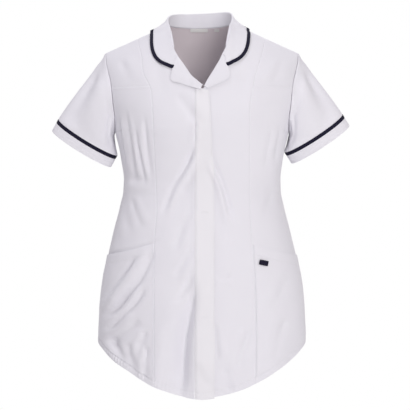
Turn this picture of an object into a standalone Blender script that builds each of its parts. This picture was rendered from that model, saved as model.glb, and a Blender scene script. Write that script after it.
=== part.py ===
"""Maternity tunic in its worn shape: panels, sleeves, collar and pockets as thin cloth shells.

Lengths in millimetres inside the functions, metres in the scene.  +Z up, the front faces -Y,
the wearer's right is -X.  The origin is at the neck opening, level with the shoulders.
"""
import bpy
import numpy as np
from mathutils.bvhtree import BVHTree

MM = 0.001

# ---------------------------------------------------------------- cloth
WALL = 1.6             # thickness of one layer of cloth
GAP = 0.3              # between two pieces at a seam
ON_TOP = GAP + WALL    # outer face of a piece laid on a panel
ROLL = 1.95            # radius of the visible face where collar and lapels turn over

# ---------------------------------------------------------------- body
# Rings of the body: height, half width, front depth, back depth.
RINGS = (
    (-800.0, 221.0, 168.0, 134.0),
    (-666.0, 221.0, 166.0, 130.0),
    (-602.0, 219.0, 163.0, 126.0),
    (-525.0, 211.0, 157.0, 119.0),
    (-486.0, 203.0, 153.0, 114.0),
    (-447.0, 193.5, 148.0, 108.0),
    (-408.0, 184.0, 143.0, 101.0),
    (-370.0, 174.0, 137.0, 95.0),
    (-344.0, 169.0, 134.0, 91.0),
    (-318.0, 168.0, 132.0, 90.0),
    (-280.0, 172.5, 132.0, 94.0),
    (-250.0, 177.8, 133.0, 99.0),
    (-235.0, 181.6, 132.6, 101.0),
    (-215.0, 186.0, 132.0, 103.0),
    (-205.0, 187.0, 131.0, 103.0),
    (-185.0, 191.5, 129.0, 104.0),
    (-160.0, 201.0, 125.0, 103.0),
    (-120.0, 209.0, 116.0, 99.0),
    (-90.0, 213.0, 109.0, 95.0),
    (-50.0, 216.0, 97.0, 87.0),
    (0.0, 216.0, 82.0, 74.0),
    (60.0, 210.0, 62.0, 60.0),
)
HALF_WIDTH, FRONT_DEPTH, BACK_DEPTH = 1, 2, 3
SQUARENESS = 0.82      # below 1 the front and back are flatter than an ellipse
RIDGE_DEPTH = 110.0    # drop from the shoulder ridge to the full depth
# Shoulder ridge: distance from the centre, height.
RIDGE = ((0.0, 60.0), (20.0, 56.5), (40.0, 44.0), (55.0, 30.5), (70.0, 15.5),
         (100.0, 2.0), (150.0, -20.5), (205.0, -45.2), (240.0, -61.0))
# Curved hem, a tail at front and back: distance from the centre, height.
HEM = ((0.0, -769.0), (22.0, -767.0), (55.0, -759.5), (88.0, -748.5), (121.0, -733.5),
       (156.0, -713.0), (177.0, -701.0), (196.0, -687.0), (212.0, -671.0), (221.0, -662.0))
UNDERARM = -215.0
# Armhole edge: height, distance from the centre.
ARMHOLE = ((-215.0, 186.0), (-205.0, 185.0), (-188.0, 185.0), (-160.0, 188.0),
           (-137.0, 190.0), (-111.0, 193.5), (-90.0, 199.0), (-63.0, 205.0), (-40.0, 207.0))

# ---------------------------------------------------------------- seams, height and x
PRINCESS_RIGHT = ((-800.0, -96.0), (-648.0, -97.0), (-546.0, -98.1), (-448.0, -98.4),
                  (-386.0, -93.5), (-347.0, -94.7), (-265.0, -98.8), (-207.0, -101.0),
                  (-135.0, -105.7), (-122.0, -110.0), (-94.5, -122.9), (-57.5, -127.7),
                  (-28.0, -134.9), (0.0, -139.0))
PRINCESS_LEFT = ((-800.0, 108.0), (-648.0, 110.5), (-550.0, 109.0), (-444.0, 103.1),
                 (-341.0, 99.3), (-252.0, 99.3), (-177.0, 99.6), (-129.0, 105.4),
                 (-90.0, 114.9), (-46.5, 128.2), (0.0, 137.0))
YOKE_SEAM = -127.0
# Inner edge of each centre front: the placket below, the turned neck edge above.
EDGE_RIGHT = ((-800.0, -14.5), (-117.0, -14.5), (-110.0, -19.7), (-101.0, -28.4),
              (-84.0, -39.1), (-70.0, -48.0), (-62.0, -54.3), (-45.0, -62.0), (-24.0, -66.5),
              (-5.0, -69.5), (7.0, -71.7), (13.7, -74.0), (60.0, -78.0))
EDGE_LEFT = ((-800.0, -12.0), (-143.0, -12.0), (-136.0, -10.0), (-128.0, 5.4),
             (-122.0, 8.0),
             (-104.0, 19.6), (-84.0, 33.1), (-60.0, 46.4), (-42.0, 53.6), (-22.0, 58.0),
             (-2.0, 61.2), (9.0, 63.5), (19.3, 66.0), (60.0, 70.0))
NECK_RIGHT, NECK_LEFT = -74.0, 66.0
# Seam at the back neck: x, height.
BACK_NECK = ((-74.0, 13.7), (-60.0, 13.9), (-4.0, 14.5), (40.0, 15.6), (56.0, 17.4),
             (66.0, 19.3))
PLACKET_EDGE = ((-800.0, 25.5), (-336.0, 25.5), (-285.0, 22.9), (-182.0, 17.8),
                (-120.0, 14.0))
PLACKET_LEFT = -14.2
PLACKET_TOP = ((-15.0, -118.5), (-12.0, -121.5), (0.0, -131.0), (8.0, -134.0), (26.0, -139.0))
HEM_STEP = 4.5         # the left front ends this much above the band's foot

# ---------------------------------------------------------------- largest folds
# start x, start z, end x, end z, half width, height outwards
FOLDS = (
    (-14.0, -249.0, -80.0, -395.0, 13.0, -3.0),
    (2.0, -262.0, -58.0, -400.0, 15.0, 2.5),
    (-17.0, -560.0, -32.0, -830.0, 9.0, -9.0),
    (-34.0, -560.0, -50.0, -830.0, 13.0, 6.0),
    (-52.0, -480.0, -84.0, -830.0, 18.0, 3.0),
    (45.0, -320.0, 66.0, -420.0, 15.0, 2.5),
    (30.0, -300.0, 52.0, -410.0, 11.0, -2.5),
    (92.0, -640.0, 70.0, -830.0, 16.0, -4.5),
    (48.0, -600.0, 44.0, -830.0, 18.0, 3.5),
    (-126.0, -600.0, -120.0, -830.0, 22.0, -3.0),
    (150.0, -560.0, 160.0, -800.0, 24.0, 3.0),
)
# The same on the back, which the wearer's pose makes plainer.
BACK_FOLDS = (
    (-70.0, -330.0, -84.0, -830.0, 24.0, 4.0),
    (60.0, -350.0, 78.0, -830.0, 24.0, 4.0),
    (0.0, -470.0, -6.0, -830.0, 26.0, -4.0),
    (-130.0, -480.0, -150.0, -830.0, 22.0, -3.5),
    (136.0, -500.0, 148.0, -830.0, 22.0, -3.5),
)
# Soft fullness at the bust on each princess seam: x, z, radius, height.
FULLNESS = ((-88.0, -205.0, 62.0, 7.0), (86.0, -205.0, 62.0, 7.0))

# ---------------------------------------------------------------- sleeves
# side, trim ring centre x, y, z, half vector x, z, half depth, axis x, axis z
SLEEVES = (
    (-1.0, -246.6, -6.0, -230.0, -63.0, 39.0, 38.0, -0.48, -0.877),
    (1.0, 241.2, -6.0, -221.3, 62.0, 40.9, 38.0, 0.53, -0.848),
)
FRONT_DIP = 8.5        # the cuff's front hangs lower than its back
TRIM = 7.8             # width of the navy trim
CUFF = 20.0            # depth of the cuff under the trim
ARM_STEPS = 11         # points on each half of the armhole

# ---------------------------------------------------------------- collar
NECK_SHIFT = -4.0      # the neck opening sits a little to the wearer's right
NECK_TILT = 0.045
# Where the collar turns over: x, y, z from the back centre to the front end.
COLLAR_ROLL = ((0.0, 62.0, 47.0), (28.0, 59.5, 47.0), (50.0, 47.0, 46.0), (63.0, 25.0, 42.0),
               (68.0, 0.0, 34.0), (67.0, -22.0, 21.0), (62.5, -43.0, 5.0),
               (58.0, -64.0, -18.0), (53.5, -84.0, -43.0), (49.5, -91.0, -52.5),
               (45.5, -96.0, -60.0))
# Its outer edge, lying on the body: distance from the centre, turn about the shoulder ridge.
COLLAR_EDGE = ((0.0, -1.13), (30.0, -1.05), (57.0, -0.82), (79.0, -0.55), (95.0, -0.25),
               (103.0, 0.08), (104.8, 0.45), (104.0, 0.83), (95.0, 1.17), (77.0, 1.32),
               (54.3, 1.54))
# The neck seam under it, row by row: distance from the centre at the back, then height.
NECK_BACK = (0.0, 26.0, 46.0, 61.0, 70.0)
NECK_FRONT = (16.6, 7.5, -5.0, -23.0, -43.5, -52.5, -60.0)
# Lapels: height and x of the turned edge, then of the outer edge.
LAPEL_RIGHT = ((-124.5, -2.2, -134.0, -3.9), (-115.0, -10.6, -129.5, -18.0),
               (-101.0, -23.7, -121.5, -41.0), (-84.0, -34.2, -112.0, -64.9),
               (-71.0, -42.3, -99.0, -64.0), (-64.0, -48.2, -86.0, -60.9))
LAPEL_LEFT = ((-126.3, 0.9, -131.0, 10.0), (-113.0, 8.6, -126.0, 22.0),
              (-97.0, 19.4, -117.5, 41.0), (-84.0, 28.1, -107.0, 57.5),
              (-70.0, 36.2, -92.0, 57.4), (-60.2, 40.8, -79.5, 52.7))

# ---------------------------------------------------------------- pockets and labels
# Top edge of each pocket: distance from the centre, height.
POCKET_TOP = ((95.0, -450.0), (136.0, -463.5), (196.0, -477.5), (230.0, -483.0))
POCKET_FOOT = 15.0     # the pocket is caught in the hem this far above its edge
TAB = (126.0, -491.9, 18.6, 10.6, -0.21)          # x, z, width, height, turn
NECK_LABEL = (-6.8, 9.5, 39.0, 7.0)                # x, z, width, height
SIZE_LABEL = (31.0, 8.5, 11.0, 5.0)


# ================================================================ tables
def along(rows, at, column=1):
    """A smooth, never overshooting value from a table whose first column rises."""
    xs = np.array([row[0] for row in rows], float)
    ys = np.array([row[column] for row in rows], float)
    step = np.diff(xs)
    rise = np.diff(ys) / step
    slope = np.zeros(len(xs))
    slope[0] = rise[0]
    slope[-1] = rise[-1]
    for i in range(1, len(xs) - 1):
        if rise[i - 1] * rise[i] > 0:
            before = 2 * step[i] + step[i - 1]
            after = step[i] + 2 * step[i - 1]
            slope[i] = (before + after) / (before / rise[i - 1] + after / rise[i])
    at = np.clip(np.asarray(at, float), xs[0], xs[-1])
    k = np.clip(np.searchsorted(xs, at) - 1, 0, len(step) - 1)
    t = (at - xs[k]) / step[k]
    one = (1 + 2 * t) * (1 - t) ** 2 * ys[k]
    two = t * (1 - t) ** 2 * step[k] * slope[k]
    three = t * t * (3 - 2 * t) * ys[k + 1]
    four = t * t * (t - 1) * step[k] * slope[k + 1]
    return one + two + three + four


def through(rows, at):
    """A smooth curve through the rows of a table, at 0 to 1 from first to last."""
    rows = np.array(rows, float)
    n = len(rows) - 1
    at = np.clip(np.asarray(at, float), 0, 1) * n
    k = np.clip(at.astype(int), 0, n - 1)
    t = (at - k)[:, None]
    before = rows[np.maximum(k - 1, 0)]
    a, b = rows[k], rows[k + 1]
    after = rows[np.minimum(k + 2, n)]
    return 0.5 * (2 * a + (b - before) * t + (2 * before - 5 * a + 4 * b - after) * t ** 2
                  + (3 * a - before - 3 * b + after) * t ** 3)


def unit(v):
    return v / np.maximum(np.linalg.norm(v, axis=-1, keepdims=True), 1e-9)


# ================================================================ body surface
def drop(turn):
    """Height lost from the shoulder ridge for a turn of the surface over it."""
    turn = np.abs(turn)
    return RIDGE_DEPTH * np.where(turn < np.pi / 2, 1 - np.cos(turn), 1 + turn - np.pi / 2)


def turn_of(fall):
    fall = np.maximum(fall, 0) / RIDGE_DEPTH
    return np.where(fall < 1, np.arccos(np.clip(1 - fall, -1, 1)), np.pi / 2 + fall - 1)


def ridge(x):
    return along(RIDGE, np.abs(x))


def width(z):
    return along(RINGS, z, HALF_WIDTH)


def bumps(x, z, front):
    """Height of the folds and of the bust fullness above the plain surface."""
    out = np.zeros(np.shape(x))
    for x0, z0, x1, z1, half, high in (FOLDS if front else BACK_FOLDS):
        dx, dz = x1 - x0, z1 - z0
        length = np.hypot(dx, dz)
        t = ((x - x0) * dx + (z - z0) * dz) / length ** 2
        away = ((x - x0) * dz - (z - z0) * dx) / length
        ends = np.clip(t / 0.3, 0, 1) * np.clip((1 - t) / 0.3, 0, 1)
        ends = ends * ends * (3 - 2 * ends)
        out = out + high * ends * np.exp(-(away / half) ** 2)
    if front:
        for x0, z0, radius, high in FULLNESS:
            out = out + high * np.exp(-((x - x0) ** 2 + (z - z0) ** 2) / radius ** 2)
    return out


def body_at(angle, turn):
    """Point on the body: angle round from the front centre, turn about the shoulder ridge.

    A positive turn is the front, a negative one the back."""
    angle = np.asarray(angle, float)
    turn = np.asarray(turn, float)
    z = ridge(0 * angle + 120.0) - drop(turn)
    for _ in range(14):
        x = width(z) * np.sin(angle)
        z = ridge(x) - drop(turn)
    x = width(z) * np.sin(angle)
    lean = np.sin(np.minimum(np.abs(turn), np.pi / 2)) * np.sign(turn)
    depth = np.where(turn >= 0, along(RINGS, z, FRONT_DEPTH), along(RINGS, z, BACK_DEPTH))
    side = np.sign(np.cos(angle)) * np.abs(np.cos(angle)) ** SQUARENESS
    y = -depth * side * lean
    front = np.where(turn >= 0, bumps(x, z, True), bumps(x, z, False))
    fade = np.clip(np.abs(np.cos(angle)) * 3.0, 0, 1)
    y = y - np.sign(turn) * front * fade * np.abs(lean)
    return np.stack([x, y, z], -1)


def body(angle, turn):
    """Point and outward normal of the body surface."""
    angle = np.asarray(angle, float)
    turn = np.asarray(turn, float)
    da, dt = 0.004, 0.004
    p = body_at(angle, turn)
    pa = body_at(angle + da, turn) - body_at(angle - da, turn)
    pt = body_at(angle, turn + dt) - body_at(angle, turn - dt)
    return p, unit(np.cross(pt, pa))


def angle_at(x, z):
    return np.arcsin(np.clip(x / width(z), -1, 1))


def on_body(x, z, side=1.0, out=0.0):
    """Point on the front (side 1) or back (side -1) at x and z, moved out along the normal."""
    x = np.asarray(x, float)
    z = np.asarray(z, float)
    p, n = body(angle_at(x, z), side * turn_of(ridge(x) - z))
    return p + n * np.asarray(out, float)[..., None]


def hem(x):
    return along(HEM, np.abs(x))


# ================================================================ panels
def column_ends(angle_of, z_end):
    """Turn at which the column with the given angle reaches the height z_end(x)."""
    z = z_end(0.0)
    for _ in range(20):
        x = width(z) * np.sin(angle_of(z))
        z = z_end(x)
    return float(turn_of(ridge(x) - z))


def solve(angle_of, turn):
    """Angle of a column at the height its turn reaches."""
    z = -60.0 - drop(turn)
    for _ in range(20):
        angle = angle_of(z)
        z = ridge(width(z) * np.sin(angle)) - drop(turn)
    return float(angle_of(z))


def panel(inner, outer, shares, top, foot, rows_inner, rows_outer, side=1.0):
    """Grid of angles and turns between two seams.

    inner and outer give the angle of each seam at a height; shares are the columns from
    inner (0) to outer (1); top and foot give the turn at each column's ends; the rows run
    from 0 at the top to 1 at the foot along the inner and outer seams."""
    angles = np.zeros((len(rows_inner), len(shares)))
    turns = np.zeros_like(angles)
    for c, u in enumerate(shares):
        def angle_of(z, u=u):
            return (1 - u) * inner(z) + u * outer(z)
        t0, t1 = top(u, angle_of), foot(u, angle_of)
        for r in range(len(rows_inner)):
            share = (1 - u) * rows_inner[r] + u * rows_outer[r]
            turns[r, c] = t0 + (t1 - t0) * share
            angles[r, c] = solve(angle_of, turns[r, c])
    return angles, side * turns


def armhole_turns(side):
    """Turns of evenly spaced points down one half of the armhole."""
    end = float(turn_of(ridge(186.0) - UNDERARM))
    turns = np.linspace(0, end, 400)
    points = []
    for t in turns:
        z = -60.0
        for _ in range(25):
            z = float(ridge(along(ARMHOLE, z)) - drop(t))
        points.append(body_at(angle_at(along(ARMHOLE, z), z), side * max(t, 1e-6)))
    points = np.array(points)
    run = np.concatenate([[0], np.cumsum(np.linalg.norm(np.diff(points, axis=0), axis=1))])
    return np.interp(np.linspace(0, run[-1], ARM_STEPS + 1), run, turns)


# ================================================================ meshes
def faces_of_grid(rows, columns, around=False):
    """Faces of a cloth: outer skin, inner skin and the walls along its free edges."""
    out = []
    n = rows * columns
    last = columns if around else columns - 1
    for r in range(rows - 1):
        for c in range(last):
            a, b = r * columns + c, r * columns + (c + 1) % columns
            d, e = a + columns, (r + 1) * columns + (c + 1) % columns
            out.append((a, b, e))
            out.append((a, e, d))
            out.append((n + a, n + e, n + b))
            out.append((n + a, n + d, n + e))
    for c in range(last):
        a, b = c, (c + 1) % columns
        out.append((a, n + a, n + b, b))
        a, b = (rows - 1) * columns + c, (rows - 1) * columns + (c + 1) % columns
        out.append((a, b, n + b, n + a))
    if not around:
        for r in range(rows - 1):
            a, b = r * columns, (r + 1) * columns
            out.append((a, b, n + b, n + a))
            a, b = a + columns - 1, b + columns - 1
            out.append((a, n + a, n + b, b))
    return out


MATERIALS = {}


def material(name, colour, rough):
    if name not in MATERIALS:
        m = bpy.data.materials.new(name)
        m.use_nodes = True
        shader = m.node_tree.nodes["Principled BSDF"]
        shader.inputs["Base Color"].default_value = colour
        shader.inputs["Roughness"].default_value = rough
        shader.inputs["Metallic"].default_value = 0.0
        MATERIALS[name] = m
    return MATERIALS[name]


def cloth(name, skin, normal, colour, around=False, wall=WALL):
    """A cloth solid from a grid of points on its outer face and the normals there."""
    rows, columns = skin.shape[:2]
    lining = skin - normal * wall
    points = np.concatenate([skin.reshape(-1, 3), lining.reshape(-1, 3)]) * MM
    mesh = bpy.data.meshes.new(name)
    mesh.from_pydata(points.tolist(), [], faces_of_grid(rows, columns, around))
    mesh.update()
    a = points[:rows * columns].reshape(rows, columns, 3)
    turned = np.cross(a[0, 1] - a[0, 0], a[1, 0] - a[0, 0])
    if np.dot(turned, normal[0, 0]) < 0:
        mesh.flip_normals()
    mesh.polygons.foreach_set("use_smooth", [True] * len(mesh.polygons))
    obj = bpy.data.objects.new(name, mesh)
    obj.data.materials.append(material(name + "_cloth", *colour))
    GARMENT.objects.link(obj)
    return obj


def grid_normals(skin, around=False, toward=None):
    """Normals of a grid of points from its neighbours."""
    down = np.gradient(skin, axis=0)
    if around:
        across = np.roll(skin, -1, axis=1) - np.roll(skin, 1, axis=1)
    else:
        across = np.gradient(skin, axis=1)
    n = unit(np.cross(down, across))
    if toward is not None and np.sum(n * toward) < 0:
        n = -n
    return n


WHITE = ((0.86, 0.86, 0.88, 1.0), 0.85)
NAVY = ((0.012, 0.014, 0.045, 1.0), 0.8)
LABEL = ((0.8, 0.8, 0.8, 1.0), 0.6)

for old in list(bpy.data.objects):
    bpy.data.objects.remove(old, do_unlink=True)
GARMENT = bpy.data.collections.new("maternity_tunic")
bpy.context.scene.collection.children.link(GARMENT)

# ================================================================ fronts and back
TURNS_FRONT = armhole_turns(1.0)
TURNS_BACK = armhole_turns(-1.0)
SHOULDER_GAP = 0.0045  # turn left open on each side of the shoulder seam
HEM_ROWS = 11          # rows of each panel between underarm and hem


def armhole_height(turn):
    z = -60.0
    for _ in range(25):
        z = float(ridge(along(ARMHOLE, z)) - drop(turn))
    return z


YOKE_ROW = int(np.argmin([abs(armhole_height(t) - YOKE_SEAM) for t in TURNS_FRONT]))
YOKE_LINE = armhole_height(TURNS_FRONT[YOKE_ROW])


def seam_angle(rows, shift=0.0):
    return lambda z: float(angle_at(along(rows, z) + shift, z))


def side_angle(side, shift=0.0):
    """Side seam below the underarm, armhole edge above it."""
    def angle(z):
        limit = np.pi / 2 - shift / 180.0
        if z <= UNDERARM:
            return side * limit
        return side * min(float(angle_at(along(ARMHOLE, z), z)), limit)
    return angle


def to_hem(u, angle_of):
    return column_ends(angle_of, lambda x: float(hem(x)))


def to_left_hem(u, angle_of):
    return column_ends(angle_of, lambda x: float(hem(x)) + HEM_STEP * max(0, 1 - abs(x) / 90))


def to_height(z_end):
    return lambda u, angle_of: column_ends(angle_of, lambda x: z_end)


def to_shoulder(u, angle_of):
    return SHOULDER_GAP


def shares_between(turns, start, end):
    return [(t - start) / (end - start) for t in turns]


def princess_turns(rows):
    """Turns of the rows down a princess seam, shared by the panels on both sides."""
    seam = seam_angle(rows)
    yoke = to_height(YOKE_LINE)(0, seam)
    armpit = to_height(UNDERARM)(0, seam)
    out = list(np.linspace(SHOULDER_GAP, yoke, YOKE_ROW + 1))
    out += list(np.linspace(yoke, armpit, ARM_STEPS - YOKE_ROW + 1)[1:])
    return out + list(np.linspace(armpit, to_hem(0, seam), HEM_ROWS + 1)[1:])


# Rows down the inner edge of a centre front, closer at the neck and lapels.
FRONT_ROWS = (0, 0.025, 0.055, 0.085, 0.115, 0.145, 0.178, 0.21, 0.24, 0.268, 0.315, 0.37)
FRONT_ROWS = FRONT_ROWS + tuple(np.linspace(0.37, 1.0, HEM_ROWS + 1)[1:])
GRIDS = {}


def centre_front(name, side, edge, princess, shares, foot):
    inner, outer = seam_angle(edge), seam_angle(princess, -side * GAP / 2)
    turns = princess_turns(princess)
    rows = shares_between(turns, turns[0], turns[-1])
    GRIDS[name] = body(*panel(inner, outer, shares, to_shoulder, foot, FRONT_ROWS, rows))
    return cloth(name, *GRIDS[name], WHITE)


centre_front("centre_front_right", -1.0, EDGE_RIGHT, PRINCESS_RIGHT,
             (0, 0.07, 0.15, 0.24, 0.34, 0.45, 0.58, 0.72, 0.86, 1.0), to_hem)
centre_front("centre_front_left", 1.0, EDGE_LEFT, PRINCESS_LEFT,
             (0, 0.17, 0.32, 0.45, 0.58, 0.72, 0.86, 1.0), to_left_hem)


def side_front(side, princess, label):
    inner = seam_angle(princess, side * GAP / 2)
    outer = side_angle(side, GAP / 2)
    shares = (0, 0.16, 0.33, 0.5, 0.66, 0.8, 0.91, 1.0)
    seam = princess_turns(princess)
    line = to_height(YOKE_LINE + GAP / 2)
    start, end = SHOULDER_GAP, line(1.0, outer)
    rows_outer = shares_between([max(t, start) for t in TURNS_FRONT[:YOKE_ROW]], start, end)
    rows_inner = shares_between(seam[:YOKE_ROW], seam[0], line(0.0, inner))
    angles, turns = panel(inner, outer, shares, to_shoulder, line,
                          rows_inner + [1.0], rows_outer + [1.0])
    cloth("yoke_" + label, *body(angles, turns), WHITE)

    line = to_height(YOKE_LINE - GAP / 2)
    start, end = line(1.0, outer), to_hem(1.0, outer)
    rows_outer = [0.0] + shares_between(TURNS_FRONT[YOKE_ROW + 1:], start, end)
    rows_outer += list(np.linspace(rows_outer[-1], 1, HEM_ROWS + 1)[1:])
    rows_inner = [0.0] + shares_between(seam[YOKE_ROW + 1:], line(0.0, inner), seam[-1])
    angles, turns = panel(inner, outer, shares, line, to_hem, rows_inner, rows_outer)
    GRIDS["side_front_" + label] = body(angles, turns)
    cloth("side_front_" + label, *GRIDS["side_front_" + label], WHITE)


side_front(-1.0, PRINCESS_RIGHT, "right")
side_front(1.0, PRINCESS_LEFT, "left")


def back():
    one, two = side_angle(-1.0, GAP / 2), side_angle(1.0, GAP / 2)
    shares = (0, 0.06, 0.13, 0.205, 0.285, 0.3625, 0.43, 0.4925, 0.56, 0.6225,
              0.71, 0.79, 0.865, 0.935, 1.0)
    end = to_hem(0.0, one)
    edge = shares_between([max(t, SHOULDER_GAP) for t in TURNS_BACK], SHOULDER_GAP, end)
    edge = edge + list(np.linspace(edge[-1], 1, HEM_ROWS + 1)[1:])
    angles = np.zeros((len(edge), len(shares)))
    turns = np.zeros_like(angles)
    for c, u in enumerate(shares):
        def angle_of(z, u=u):
            return (1 - u) * one(z) + u * two(z)
        x_top = float(width(10.0) * np.sin(angle_of(10.0)))
        start = SHOULDER_GAP
        if NECK_RIGHT + 1 < x_top < NECK_LEFT - 1:
            start = column_ends(angle_of, lambda x: float(along(BACK_NECK, x)))
        finish = to_hem(u, angle_of)
        armpit = column_ends(angle_of, lambda x: UNDERARM)
        even = list(np.linspace(start, armpit, ARM_STEPS + 1))
        even = even + list(np.linspace(armpit, finish, HEM_ROWS + 1)[1:])
        bend = abs(2 * u - 1) ** 3
        for r, share in enumerate(edge):
            own = start + (finish - start) * share
            turns[r, c] = bend * own + (1 - bend) * even[r]
            angles[r, c] = solve(angle_of, turns[r, c])
    GRIDS["back"] = body(angles, -turns)
    cloth("back", *GRIDS["back"], WHITE)


back()


# ================================================================ what lies on a panel
def sample(grid, row, column):
    """Point and normal of a panel's own mesh at a fractional row and column."""
    out = []
    for field in grid:
        r = int(np.clip(np.floor(row), 0, field.shape[0] - 2))
        c = int(np.clip(np.floor(column), 0, field.shape[1] - 2))
        v, u = row - r, column - c
        a, b, d, e = field[r, c], field[r, c + 1], field[r + 1, c], field[r + 1, c + 1]
        out.append(a + u * (b - a) + v * (e - b) if u >= v else a + v * (d - a) + u * (e - d))
    return out[0], unit(out[1])


def row_at_height(grid, column, height_of):
    """Fractional row at which a column meets a line given as height of x."""
    rows = np.linspace(-0.5, grid[0].shape[0] - 0.5, 900)
    points = np.array([sample(grid, r, column)[0] for r in rows])
    over = points[:, 2] - np.array([float(height_of(x)) for x in points[:, 0]])
    k = int(np.argmax(over < 0))
    return rows[k - 1] + (rows[k] - rows[k - 1]) * over[k - 1] / (over[k - 1] - over[k])


def column_at_x(grid, row, x):
    """Fractional column at which a row reaches x, running on past the first column."""
    columns = np.linspace(-0.5, 4.0, 300)
    xs = np.array([sample(grid, row, c)[0][0] for c in columns])
    return float(np.interp(x, xs, columns))


def lay(name, grid, cells, out, colour):
    """A cloth laid on a panel: cells are the fractional rows and columns it covers."""
    pairs = [[sample(grid, r, c) for r, c in line] for line in cells]
    skin = np.array([[p for p, n in line] for line in pairs])
    normal = np.array([[n for p, n in line] for line in pairs])
    GRIDS[name] = (skin + normal * out, normal)
    cloth(name, *GRIDS[name], colour)


def placket():
    """The band lies on the left front and shares its rows and columns where it can."""
    grid = GRIDS["centre_front_left"]
    last = grid[0].shape[0] - 1
    raise_by = ON_TOP + 0.25
    rows, normals = [], []

    def add(points):
        rows.append([p + n * raise_by for p, n in points])
        normals.append([n for p, n in points])

    def plain(x, z):
        return body(float(angle_at(x, z)), float(turn_of(ridge(x) - z)))
    first = [r for r in range(last) if grid[0][r, 0, 2] < -148.0][0]
    tops = [PLACKET_LEFT] + [float(grid[0][first, c, 0]) for c in (0, 1)] + [PLACKET_EDGE[-1][1]]
    add([plain(x, float(along(PLACKET_TOP, x))) for x in tops])
    for r in range(first, last + 1):
        line = [(r, 0), (r, 1)]
        z = float(grid[0][r, 1, 2])
        line.append((r, column_at_x(grid, r, float(along(PLACKET_EDGE, z)))))
        if r == last:
            line = [(row_at_height(grid, c, hem), c) for _, c in line]
        line = [sample(grid, *cell) for cell in line]
        add([plain(PLACKET_LEFT, float(line[0][0][2]))] + line)
    GRIDS["placket_band"] = (np.array(rows), np.array(normals))
    cloth("placket_band", *GRIDS["placket_band"], WHITE)


placket()


def pocket(label):
    grid = GRIDS["side_front_" + label]
    last_row, last = grid[0].shape[0] - 1, grid[0].shape[1] - 1
    columns = [0.09] + list(range(1, last)) + [last - 0.4]
    tops = [row_at_height(grid, c, lambda x: along(POCKET_TOP, abs(x))) for c in columns]
    feet = [row_at_height(grid, c, lambda x: hem(x) + POCKET_FOOT) for c in columns]
    cells = [list(zip(tops, columns))]
    full = int(np.ceil(max(tops) + 0.04))
    steps = full - int(np.ceil(min(tops) + 0.04))
    for k in range(steps):
        # Under the slanting edge, each column keeps the panel's own rows that it crosses.
        line = []
        for top, c in zip(tops, columns):
            own = [r for r in range(full) if r > top + 0.04]
            fill = list(np.linspace(top, (own + [full])[0], steps - len(own) + 2)[1:-1])
            line.append(((fill + own)[k], c))
        cells.append(line)
    for r in range(full, int(np.floor(min(feet) - 0.04)) + 1):
        cells.append([(r, c) for c in columns])
    cells.append(list(zip(feet, columns)))
    lay("pocket_" + label, grid, cells, ON_TOP + 0.2, WHITE)


pocket("right")
pocket("left")


def plate(name, carrier, x, z, wide, high, turn, side, out, wall, colour):
    """A small tab or label lying on the cloth, turned in its own plane.

    A negative out puts it on the inside of the carrier."""
    skin_of, normal_of = GRIDS[carrier]
    rows, columns = skin_of.shape[:2]
    tree = BVHTree.FromPolygons(skin_of.reshape(-1, 3).tolist(),
                                [f for f in faces_of_grid(rows, columns)
                                 if max(f) < rows * columns])
    across, down = np.meshgrid(np.linspace(-wide / 2, wide / 2, 4),
                               np.linspace(high / 2, -high / 2, 3))
    xs = x + across * np.cos(turn) - down * np.sin(turn)
    zs = z + across * np.sin(turn) + down * np.cos(turn)
    n = body(angle_at(xs, zs), side * turn_of(ridge(xs) - zs))[1]
    skin = np.zeros(xs.shape + (3,))
    for k in np.ndindex(xs.shape):
        hit = tree.ray_cast((xs[k], -side * 400.0, zs[k]), (0.0, side, 0.0))[0]
        skin[k] = np.array(hit) + n[k] * out
    cloth(name, skin, n if out > 0 else -n, colour, wall=wall)


plate("pocket_tab", "pocket_left", *TAB, 1.0, 1.2 + 0.6, 1.2, NAVY)
plate("neck_label", "back", *NECK_LABEL, 0.0, -1.0, -(WALL + GAP + 1.5), 0.8, LABEL)
plate("size_label", "back", *SIZE_LABEL, 0.0, -1.0, -(WALL + GAP + 1.5), 0.8, LABEL)


# ================================================================ sleeves
def armhole_ring(side):
    """Points and body normals round the armhole: top, front, underarm, back."""
    points, normals = [], []
    for k in range(ARM_STEPS + 1):
        t = max(TURNS_FRONT[k], 1e-5)
        z = armhole_height(t)
        a = side * min(float(angle_at(along(ARMHOLE, z), z)), np.pi / 2)
        p, n = body(a, t)
        points.append(p)
        normals.append(n)
    for k in range(ARM_STEPS - 1, 0, -1):
        t = TURNS_BACK[k]
        z = armhole_height(t)
        p, n = body(side * float(angle_at(along(ARMHOLE, z), z)), -t)
        points.append(p)
        normals.append(n)
    return np.array(points), np.array(normals)


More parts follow.
